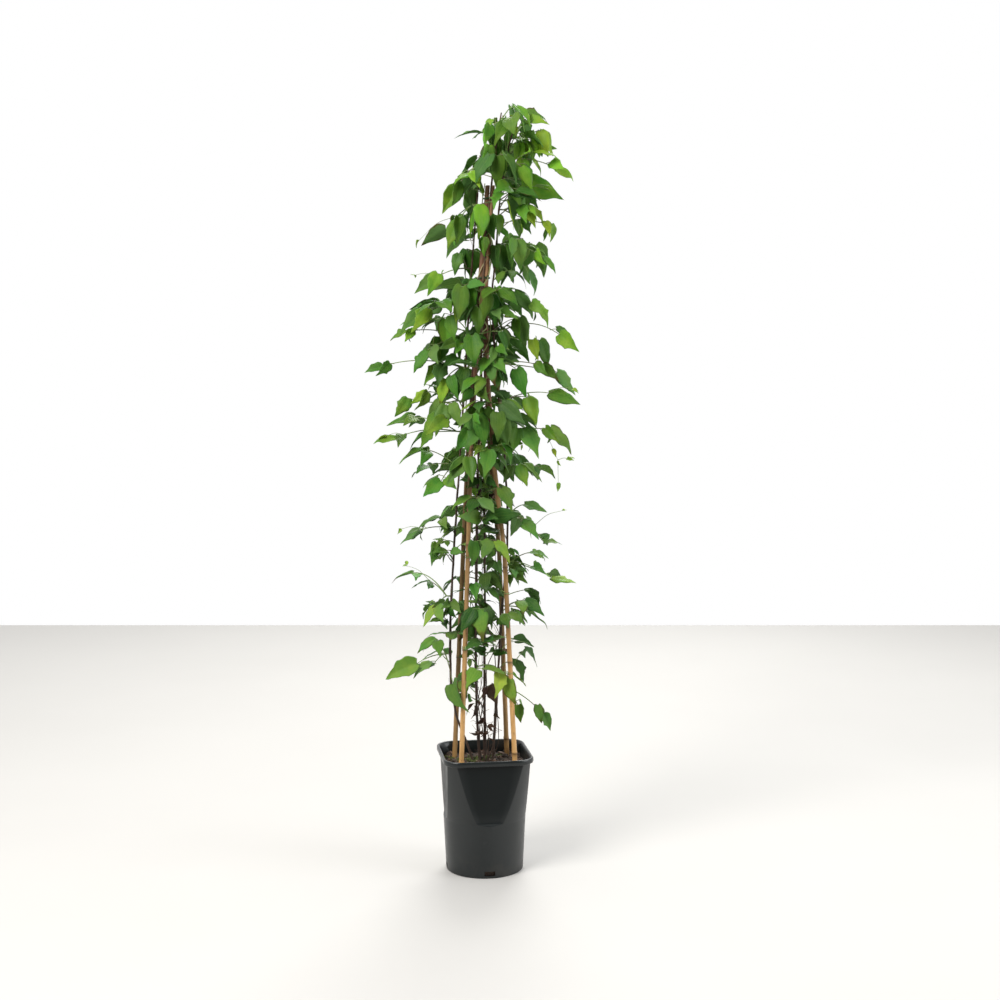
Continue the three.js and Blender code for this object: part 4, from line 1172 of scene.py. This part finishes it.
def blade_mesh(leaf, random, tone="green", lobed=0.2):
    """A fine blade over the frame's own: cordate foot, pointed tip, sunken veins and a waved edge."""
    u, v = np.meshgrid(BLADE_ROWS, BLADE_COLUMNS, indexing="ij")
    length = leaf.length
    width = blade_outline(u, v, random, lobed)
    curl = 2.4 if tone == "dry" else 1.0
    y = v * width * length * BLADE_WIDTH / 2
    x = length * (u - random.uniform(0.05, 0.15) * np.abs(v) ** 1.7 * (1 - u) ** 5)
    fold = leaf.fold * curl * random.uniform(0.7, 1.9)
    cross = fold * (np.sqrt(y * y + 0.6) - 0.77)
    taper = np.clip(width / 0.6, 0, 1)
    waves = random.uniform(0.5, 1.9) * curl
    turns, phase = random.uniform(1.1, 2.3), random.uniform(0, 6.28, 2)
    wave = np.sin(FULL_TURN * u * turns + phase[0] + 2.2 * (v > 0))
    cross += taper * length * 0.022 * waves * v**2 * wave
    cross -= taper * length * random.uniform(-0.03, 0.09) * curl * v**4
    groove = np.isin(np.abs(BLADE_COLUMNS), VEIN_COLUMNS)[None, :] * 1.0
    cross -= groove * 0.0085 * length * np.sin(math.pi * np.clip(u, 0, 1)) ** 0.7
    droop = random.uniform(0.0, 0.14) * ease(u, 0.7, 1.0) ** 2
    spine = -length * (leaf.arch * u * u + droop - 0.012 * waves * np.sin(FULL_TURN * u + phase[1]))
    twist = np.radians(random.normal(0, 15)) * curl * u
    bend = random.normal(0, 0.05) * length * u * u
    thick = 0.2 * (1 - v**4)
    sides = []
    for lift in (thick, -thick):
        across = y * np.cos(twist) - (cross + lift) * np.sin(twist) + bend
        upward = spine + y * np.sin(twist) + (cross + lift) * np.cos(twist)
        sides.append(np.stack([x, across, upward], -1))
    top, under = sides[0], sides[1][:, 1:-1]
    middle = len(BLADE_COLUMNS) // 2
    tip = (top[-1, middle] + under[-1, middle - 1]) / 2 + (top[-1, middle] - top[-2, middle]) * 0.9
    local = np.concatenate([top.reshape(-1, 3), under.reshape(-1, 3), [[0, 0, 0], tip]])
    axes = np.array([leaf.along, leaf.upper.cross(leaf.along), leaf.upper])
    points = local @ axes + np.array(leaf.root)
    edge_below = np.where(np.abs(v) > 0.99, 0.5, 0.0)
    values = {
        "blade_u": np.concatenate([u.ravel(), u[:, 1:-1].ravel(), [0, 1]]),
        "blade_v": np.concatenate([v.ravel(), v[:, 1:-1].ravel(), [0, 0]]),
        "below": np.concatenate([edge_below.ravel(), np.ones(u[:, 1:-1].size), [0.5, 0.5]]),
    }
    return points, values


# Places along every stalk, and the corners of every main blade
ALL_STALKS = []
ALL_BLADES = []
LEAF_VALUES = ("blade_u", "blade_v", "below", "tint", "hoar", "worn", "warm")


def leaf_tint_and_shade(spot, random):
    """Lighter leaves high up on the right and at the tips of shoots, with painted light on the outer leaves
    and painted shade on the darker ones inside.
    """
    across, away = spot.dot(RIGHT), spot.dot(AWAY)
    outer = ease(math.hypot(across - 8, away), 25, 115)
    high_right = ease(across, 25, 90) * ease(spot.z, 820, 1000)
    high = ease(spot.z, 1000, 1120)
    # The outer share lightens leaves away from the middle: painted light outside, painted shade inside
    tint = 0.3 + 0.18 * outer + 0.3 * high_right + 0.18 * high + random.normal(0, 0.2 + 0.08 * high)
    return float(np.clip(tint, 0.0, 1))


def add_blade(skin, leaf, random, tone="green", lobed=0.32, tint=None):
    """Takes in a leaf's blade, and returns its corners."""
    points, values = blade_mesh(leaf, random, tone, lobed)
    shade = leaf_tint_and_shade(leaf.root, random) if tint is None else tint
    # A pale cast on some leaves: partly bloom, partly painted sheen
    hoar = max(0, random.normal(0.0, 0.4))
    worn = random.uniform(0.4, 1) if random.random() < (0.25 if leaf.root.z < 460 else 0.08) else 0
    warm = 0.5 + 0.6 * noise.noise(leaf.root / 7)
    skin.add(points, BLADE_FACES, 0, tint=shade, hoar=min(hoar, 1), worn=worn, warm=warm, **values)
    return points


def add_stalk(skin, path, radius, sides=6):
    """Takes in a stalk, in the skin's second material."""
    skin.add_tube(path, radius, sides, 1)
    ALL_STALKS.extend(Vector(p) for p in path)


def add_small_leaf(skin, leaf, random, tone, tint):
    """Takes in a small leaf with a stalk of its own."""
    add_blade(skin, leaf, random, tone, tint=tint)
    add_stalk(skin, [leaf.foot, leaf.foot + leaf.along, leaf.root + leaf.along * 1.5], 0.3)


def stalk_to(leaf, random):
    """A leaflet's own stalk, bowed a little between the leaf's stalk and the blade's foot."""
    middle = leaf.foot.lerp(leaf.root, 0.55) + UP * random.uniform(-0.8, 1.4)
    return curve_through([leaf.foot, middle, leaf.root, leaf.root + leaf.along * 1.6], 7)


def build_shoots():
    """The main leaves, each in the place that it has in the frame's shoot."""
    for number, (stem, height, *rows) in enumerate(SHOOTS, 1):
        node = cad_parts[f"shoot_{number:02d}"]
        corners = node.data.vertices
        tree = kdtree.KDTree(len(corners))
        for i, corner in enumerate(corners):
            tree.insert(corner.co / MM, i)
        tree.balance()
        random = draws("shoots", number)
        tone = SHOOT_TONES.get(number, "green")
        centre, along, radius = stem_at(stem, height)
        middle = sum((seen(*row[:3]) for row in rows), Vector()) / len(rows)
        out = middle - centre
        out = (out - along * out.dot(along)).normalized()
        seat = centre + out * (radius + SEAT_GAP)
        knot = seat + out * STUB_LENGTH
        skin = Skin(*LEAF_VALUES)
        start = [centre + out * radius * 0.4, seat.lerp(knot, 0.3)]
        for i, row in enumerate(rows):
            way, found = placed_leaflets(knot, row, number * 10 + i, tree)
            # The solids had no room for this leaf
            if not found:
                continue
            path = bow(knot, seen(*row[:3]), way, 14)
            full = start + path
            swollen = 0.35 * np.exp(-np.arange(len(full)) / 1.5)
            add_stalk(skin, full, np.linspace(1.15, 0.62, len(full)) + swollen, 7)
            for station, leaf in found:
                if station:
                    add_stalk(skin, stalk_to(leaf, random), (0.62, 0.5))
                ALL_BLADES.append(add_blade(skin, leaf, random, tone))
        skin.build(f"leaves_{number:02d}", [tone, "stalk"], f"leaf_{tone}", f"shoot_{number:02d}")


# Bare vines and twigs among the canes, with what has dried on them
STRANDS = 7
STRAND_FOOT = 178
STRAND_TWIGS = 7
DRY_BITS = 16


def strand_path(random):
    """A way up between the canes, wandering round their middle."""
    top = random.uniform(300, 760)
    angle, share = random.uniform(0, FULL_TURN), random.uniform(0.25, 0.5)
    places, height = [], STRAND_FOOT
    while height < top:
        reach = share * cane_spread(height) * (0.6 if height < 200 else 1)
        places.append(pointing(angle) * reach + cane_lean(height) + UP * height)
        angle += random.normal(0, 0.7)
        share = min(max(share + random.normal(0, 0.16), 0.1), 0.8)
        height += random.uniform(38, 70)
    return curve_through(places, len(places) * 8)


def build_strands():
    """Loose strands of bark with twigs, and dry leaves low down on them."""
    random = draws("strands")
    bark, dry = Skin(), Skin(*LEAF_VALUES)
    lines = []
    for _ in range(STRANDS):
        path = strand_path(random)
        lines.append(path)
        bark.add_tube(path, (random.uniform(0.75, 1.15), 0.4), 7)
        for at in random.choice(np.arange(4, len(path) - 4), STRAND_TWIGS, replace=False):
            start = path[at]
            way = any_way(random, 0.2, 1.4)
            reach = random.uniform(7, 26)
            sag = UP * random.uniform(-0.3, 0.25) * reach
            twig = curve_through([start, start + way * reach * 0.5 - sag * 0.3, start + way * reach + sag], 6)
            bark.add_tube(twig, (0.45, 0.22), 5)
    for _ in range(DRY_BITS):
        path = lines[random.integers(STRANDS)]
        low = [p for p in path if 215 < p.z < 420]
        foot = low[random.integers(len(low))]
        blade = any_way(random, -1.6, 0.1)
        upper = blade.orthogonal().normalized()
        length, arch = random.uniform(9, 19), random.uniform(0.1, 0.4)
        leaf = Leaf(foot, foot + blade * 1.5, blade, upper, length, arch, 0.4)
        add_small_leaf(dry, leaf, random, "dry", random.uniform(0.05, 0.6))
    bark.build("bare_strands", ["bark"], "stem_wood")
    dry.build("dry_bits", ["dry", "bark"], "leaf_dry")


# A tangle of fine old growth between the canes
TANGLE_LOW = 592
TANGLE_HIGH = 672
TANGLE_THREADS = 60
TANGLE_BITS = 57


def build_tangle():
    """Fine threads between the canes, with small leaves on them, one in three of them dead."""
    random = draws("tangle")
    threads, fresh, dry = Skin(), Skin(*LEAF_VALUES), Skin(*LEAF_VALUES)
    lines = []
    for k in range(TANGLE_THREADS):
        height = random.uniform(TANGLE_LOW, TANGLE_HIGH)
        places = [stem_at(("front", "back")[k % 2], height)[0]]
        for _ in range(4):
            step = Vector((random.normal(0, 8), random.normal(0, 8), random.normal(1, 6)))
            wide = places[-1] + step
            reach = math.hypot(wide.x, wide.y) / (0.95 * cane_spread(height))
            places.append(Vector((wide.x / max(1, reach), wide.y / max(1, reach), wide.z)))
        path = curve_through(places, 20)
        lines.append(path)
        threads.add_tube(path, (0.5, 0.25), 5)
    for k in range(TANGLE_BITS):
        foot = lines[k][random.integers(8, 21)]
        blade = any_way(random, -1.2, 0.4)
        upper = turned(blade.orthogonal().normalized(), blade, random.uniform(0, 6.28))
        length, arch = random.uniform(9, 20), random.uniform(0.1, 0.3)
        leaf = Leaf(foot, foot + blade * 1.5, blade, upper, length, arch, 0.4)
        bits, tone = (dry, "dry") if k % 3 == 0 else (fresh, "green")
        add_small_leaf(bits, leaf, random, tone, random.uniform(0.3, 1))
    threads.build("tangle_threads", ["stalk"], "leaf_green")
    fresh.build("tangle_fresh", ["green", "stalk"], "leaf_green")
    dry.build("tangle_dry", ["dry", "bark"], "leaf_dry")


# Young tips: where they start, where they end, and how many small leaves they carry
SPRIGS = [
    [[92, 0, 716], [121, 2, 688], 4], [[121, 2, 688], [122, 2, 652], 2],
    [[121, 2, 688], [140, 0, 690], 3], [[-64, -10, 1072], [-104, -6, 1046], 2],
    [[110, -4, 800], [144, 0, 806], 2], [[100, 4, 590], [128, 2, 604], 2],
    [[-130, -4, 735], [-160, 0, 728], 2], [[-100, -4, 568], [-136, 0, 574], 2],
    [[-90, -4, 500], [-128, 2, 512], 2], [[28, -10, 1222], [46, -8, 1240], 3],
    [[-70, 4, 976], [-112, 4, 990], 2], [[60, -10, 760], [62, -16, 716], 2],
]


def build_sprigs():
    """Slender tips of new growth, with small pale leaves."""
    random = draws("sprigs")
    skin = Skin(*LEAF_VALUES)
    for start, end, leaves in SPRIGS:
        wanted, end = seen(*start), seen(*end)
        start = min(ALL_STALKS, key=lambda spot: (spot - wanted).length).copy()
        middle = start.lerp(end, 0.5) + UP * 0.12 * (end - start).length
        path = curve_through([start, middle, end], 14)
        add_stalk(skin, path, (0.5, 0.28), 5)
        for k in range(leaves):
            foot = path[14 - k // 2 * 4]
            side = 1 if k % 2 else -1
            heading = turned((end - start).normalized(), UP, side * random.uniform(0.5, 1.3))
            blade = (heading + UP * random.uniform(-0.6, 0.5)).normalized()
            upper = (UP - blade * blade.z).normalized()
            upper = turned(upper, blade, random.normal(0, 0.6))
            leaf = Leaf(foot, foot + blade * 2.2, blade, upper, random.uniform(7, 14), 0.2, 0.45)
            add_blade(skin, leaf, random, "young", lobed=0, tint=random.uniform(0.5, 1))
            add_stalk(skin, [foot, foot + blade, leaf.root + blade], 0.3, 5)
    skin.build("young_tips", ["young", "stalk"], "leaf_young")


# Stalks that hold on to the canes: corner, height, turns
GRIPS = [
    ("front_left", 1065, 1.3), ("front_right", 1020, 1.2), ("front_left", 942, 1.5), ("back_right", 905, 1.2),
    ("front_right", 862, 1.4), ("front_left", 812, 1.2), ("back_left", 764, 1.3), ("front_right", 722, 1.6),
    ("front_left", 655, 1.3), ("front_right", 602, 1.2), ("back_right", 560, 1.4), ("front_left", 531, 1.2),
    ("front_right", 470, 1.3), ("back_left", 430, 1.4), ("front_left", 381, 1.5), ("front_right", 338, 1.2),
]


def build_grips():
    """Leaf stalks wound round the canes, by which the plant climbs."""
    random = draws("grips")
    skin = Skin(*LEAF_VALUES)
    for corner, height, turns in GRIPS:
        cane = cane_point(CORNERS[corner], height)
        start = stem_at(nearest_stem(cane, height), height - 12)[0]
        radius = cane_radius(height) + 1.0
        toward = math.atan2(start.y - cane.y, start.x - cane.x)
        path = [start, start.lerp(cane, 0.45) + UP * random.uniform(-2, 6)]
        count = int(turns * 12)
        for k in range(count + 1):
            angle = toward + 0.5 + k / count * turns * FULL_TURN
            rise = height + k / count * turns * 2.6
            place = cane_point(CORNERS[corner], rise)
            path.append(place + pointing(angle) * radius)
        away = (path[-1] - place).normalized()
        path += [path[-1] + away * 4 + UP * 2, path[-1] + away * 11 + UP * random.uniform(-4, 5)]
        add_stalk(skin, curve_through(path, len(path) * 3), 0.55, 6)
    skin.build("gripping_stalks", ["green", "stalk"], "leaf_green")


# Pale shoots that wind up round the gathered canes: from, to, starting angle, turns
TWINERS = [(846, 1010, 3.6, 1.2), (905, 1115, 5.2, -1.5), (965, 1128, 4.2, 0.9), (720, 880, 4.6, -0.6)]
TWINER_STEPS = 24


def build_twiners():
    """Pale shoots that leave a stem, wind up round the canes and end a little loose."""
    skin = Skin(*LEAF_VALUES)
    for low, high, start_angle, turns in TWINERS:
        path = []
        for k in range(TWINER_STEPS + 1):
            share = k / TWINER_STEPS
            height = low + (high - low) * share
            angle = start_angle + turns * FULL_TURN * share + 0.3 * math.sin(share * 11)
            reach = cane_spread(height) * math.sqrt(2) + cane_radius(height) + 1.4
            reach += 0.8 * math.sin(share * 17)
            path.append(pointing(angle) * reach + cane_lean(height) + UP * height)
        loose = (path[-1] - path[-2]).normalized()
        start = stem_at(nearest_stem(path[0], low - 8), low - 8)[0]
        path = [start, *path, path[-1] + loose * 8 - AWAY * 3]
        add_stalk(skin, curve_through(path, 104), (1.1, 0.75), 7)
    skin.build("twining_shoots", ["green", "twiner"], "leaf_green")


# Inner foliage between the main leaves, as
# [low, high, left, right, front, back, how many compound leaves, longest leaflet, clear space]
THICKETS = [
    [1180, 1250, 6, 88, -34, 40, 17, 52, 6],
    [1060, 1180, -18, 100, -36, 46, 15, 52, 6],
    [985, 1060, -24, 104, -34, 44, 7, 52, 6],
    [880, 985, -110, 50, -44, 56, 17, 52, 6],
    [790, 880, -80, 34, -46, 56, 7, 52, 6],
    [690, 790, -78, 56, -48, 56, 6, 52, 6],
    [690, 950, -32, 32, -62, -40, 16, 52, 6],
    [600, 690, -40, 44, -44, 50, 10, 52, 6],
    [480, 600, -36, 44, -42, 48, 12, 52, 6],
    [340, 480, -40, 44, -38, 44, 10, 52, 6],
    [780, 970, -26, 24, -18, 34, 26, 34, 3],
    [590, 780, -30, 30, -22, 34, 26, 32, 3],
    [340, 500, -84, -44, -30, 36, 6, 42, 6],
    [340, 470, 44, 84, -26, 36, 4, 40, 6],
    [430, 490, -58, 4, -36, 30, 7, 34, 4],
    [530, 590, -66, -20, -36, 30, 6, 34, 4],
    [485, 545, 8, 56, -36, 34, 9, 34, 4],
    [300, 400, -62, -8, -36, 30, 8, 34, 4],
    [1045, 1090, -36, 0, -36, 20, 5, 36, 4],
    [1200, 1240, 0, 30, -32, 20, 4, 34, 4],
]
SPRAY_TRIES = 400
LEAF_TRIES = 5

# The greatest heights at which a stem is looked for, and at which a stalk starts
STEM_SEARCH_TOP = 1180
STALK_TOP = 1176

# The corners that stand for a blade when room is looked for, on its midrib, its tip and its edges
BLADE_SAMPLE = [20, 45, 71, 97, 123, 149, 175, -1, 66, 78, 118, 129]


class Crowd:
    """Keeps new blades clear of those already there."""

    def __init__(self, blades):
        self.spots = [self.sample(points) for points in blades]
        self.rebuild()

    @staticmethod
    def sample(points):
        """The corners of a blade that stand for it."""
        return points[BLADE_SAMPLE]

    def rebuild(self):
        """Makes the search tree anew."""
        every = np.concatenate(self.spots)
        self.tree = kdtree.KDTree(len(every))
        for i, spot in enumerate(every):
            self.tree.insert(Vector(spot), i)
        self.tree.balance()

    def has_room(self, points, least):
        """True where a blade keeps this distance from all others."""
        return all(self.tree.find(Vector(spot))[2] > least for spot in self.sample(points))

    def take(self, points):
        """Takes in a blade."""
        self.spots.append(self.sample(points))
        self.rebuild()


def inside_frame(points):
    """True where a blade stays within the frame's box, give or take a millimetre."""
    low, high = [np.array(corner) / MM for corner in cad_bounds]
    return bool((points > low - 1).all() and (points < high + 1).all())


def clear_of_canes(points):
    """True where a blade runs into no cane."""
    for x, y, z in points[::9]:
        for corner in CORNERS.values():
            place = cane_point(corner, z)
            if math.hypot(x - place.x, y - place.y) < cane_radius(z) + 1.6 and z < CANE_TOP + 4:
                return False
    return True


def find_spray(random, thicket, crowd):
    """One try at a small compound leaf: its stalk's path and its leaflets, if two or three have room."""
    low, high, left, right, front, back, _, longest, space = thicket
    hub = seen(random.uniform(left, right), random.uniform(front, back), random.uniform(low, high))
    stem = nearest_stem(hub, min(hub.z, STEM_SEARCH_TOP))
    centre, _, radius = stem_at(stem, min(hub.z - random.uniform(4, 26), STALK_TOP))
    if (hub - centre).length < longest * 0.3:
        return None
    pitch = random.uniform(-5, 85) if hub.z > 880 else random.uniform(-15, 55)
    out = (hub - centre).normalized()
    path = bow(centre + out * radius * 0.5, hub, int(random.integers(0, 3)), 3)
    size, roll = random.uniform(0.56, 1) * longest, random.uniform(-30, 75)
    leaves = []
    for station in range(3):
        for _ in range(LEAF_TRIES):
            leaf = leaflet_at(path, size, pitch, roll, station, random.random)
            points, _ = blade_mesh(leaf, draws("trial"))
            if crowd.has_room(points, space) and inside_frame(points) and clear_of_canes(points):
                leaves.append((station, leaf))
                break
        if not leaves:
            return None
    return (path, leaves) if len(leaves) > 1 else None


def build_thickets():
    """Small sprays between the main leaves, each clear of the leaves that were there before it."""
    crowd = Crowd(ALL_BLADES)
    for number, thicket in enumerate(THICKETS, 1):
        wanted = thicket[6]
        random = draws("thickets", number)
        skin = Skin(*LEAF_VALUES)
        made = tries = 0
        while made < wanted and tries < SPRAY_TRIES:
            tries += 1
            spray = find_spray(random, thicket, crowd)
            if spray is None:
                continue
            path, leaves = spray
            add_stalk(skin, curve_through(path, 12), (0.95, 0.55))
            for station, leaf in leaves:
                if station:
                    add_stalk(skin, stalk_to(leaf, random), (0.55, 0.45))
                # The inner sprays' leaves are painted a little darker: painted shade
                tint = max(0, leaf_tint_and_shade(leaf.root, random) - 0.05)
                crowd.take(add_blade(skin, leaf, random, tint=tint))
            made += 1
        skin.build(f"inner_leaves_{number}", ["green", "stalk"], "leaf_green")


# Stage, light and camera
def build_stage():
    """A plain floor whose far edge is level as seen."""
    corners = [(-FLOOR_HALF, FLOOR_FRONT), (FLOOR_HALF, FLOOR_FRONT),
               (FLOOR_HALF, FLOOR_BACK), (-FLOOR_HALF, FLOOR_BACK)]
    mesh = bpy.data.meshes.new("floor")
    mesh.from_pydata([seen(across, away, -FLOOR_DROP) * MM for across, away in corners], [], [[0, 1, 2, 3]])
    mesh.materials.append(floor_paint())
    floor = bpy.data.objects.new("floor", mesh)
    bpy.context.scene.collection.objects.link(floor)


def aim(thing, place, target):
    """Puts a light or camera into the scene, looking at a target."""
    thing.location = place
    thing.rotation_euler = (target - place).to_track_quat("-Z", "Y").to_euler()
    bpy.context.scene.collection.objects.link(thing)


def add_light(name, place, size, power, tint):
    """A round soft light, aimed at the plant's middle."""
    light = bpy.data.lights.new(name, "AREA")
    light.shape = "DISK"
    light.size = size
    light.energy = power
    light.color = tint
    aim(bpy.data.objects.new(name, light), seen(*place) * MM, seen(*LIGHT_TARGET) * MM)


def light_scene():
    """A white studio that darkens towards the eye's side, with three soft lights."""
    add_light("key", (-1500, -1700, 2500), 1.5, 95, (1.0, 0.98, 0.94))
    add_light("fill", (2300, -700, 1200), 1.6, 34, (0.96, 0.98, 1.0))
    add_light("back", (300, 2100, 2300), 1.6, 60, (1.0, 1.0, 0.97))
    world = bpy.data.worlds.new("studio")
    world.use_nodes = True
    nodes = world.node_tree.nodes
    way = nodes.new("ShaderNodeVectorMath")
    way.operation = "DOT_PRODUCT"
    way.inputs[1].default_value = AWAY
    world.node_tree.links.new(nodes.new("ShaderNodeTexCoord").outputs["Generated"], way.inputs[0])
    shade = nodes.new("ShaderNodeMapRange")
    shade.interpolation_type = "SMOOTHSTEP"
    for socket, value in (("From Min", -0.9), ("From Max", 0.5), ("To Min", 0.22), ("To Max", 1.0)):
        shade.inputs[socket].default_value = value
    world.node_tree.links.new(way.outputs["Value"], shade.inputs["Value"])
    backdrop = nodes["Background"]
    backdrop.inputs[0].default_value = (1.0, 1.0, 1.0, 1)
    world.node_tree.links.new(shade.outputs["Result"], backdrop.inputs[1])
    bpy.context.scene.world = world
    bpy.context.scene.view_settings.view_transform = "Standard"


def build_camera():
    """The photo's own angle."""
    camera = bpy.data.cameras.new("camera")
    camera.lens = LENS
    camera.sensor_width = 36
    holder = bpy.data.objects.new("camera", camera)
    aim(holder, seen(*EYE) * MM, seen(*TARGET) * MM)
    bpy.context.scene.camera = holder


build_camera()
light_scene()
build_stage()
build_pot()
build_soil()
build_chips()
build_moss()
for index, corner_name in enumerate(CORNERS):
    build_cane(corner_name, index)
for tie_name in TIE_HEIGHTS:
    build_tie(tie_name)
for index, stem_name in enumerate(STEMS):
    build_stem(stem_name, index)
build_shoots()
build_strands()
build_tangle()
build_sprigs()
build_grips()
build_twiners()
build_thickets()
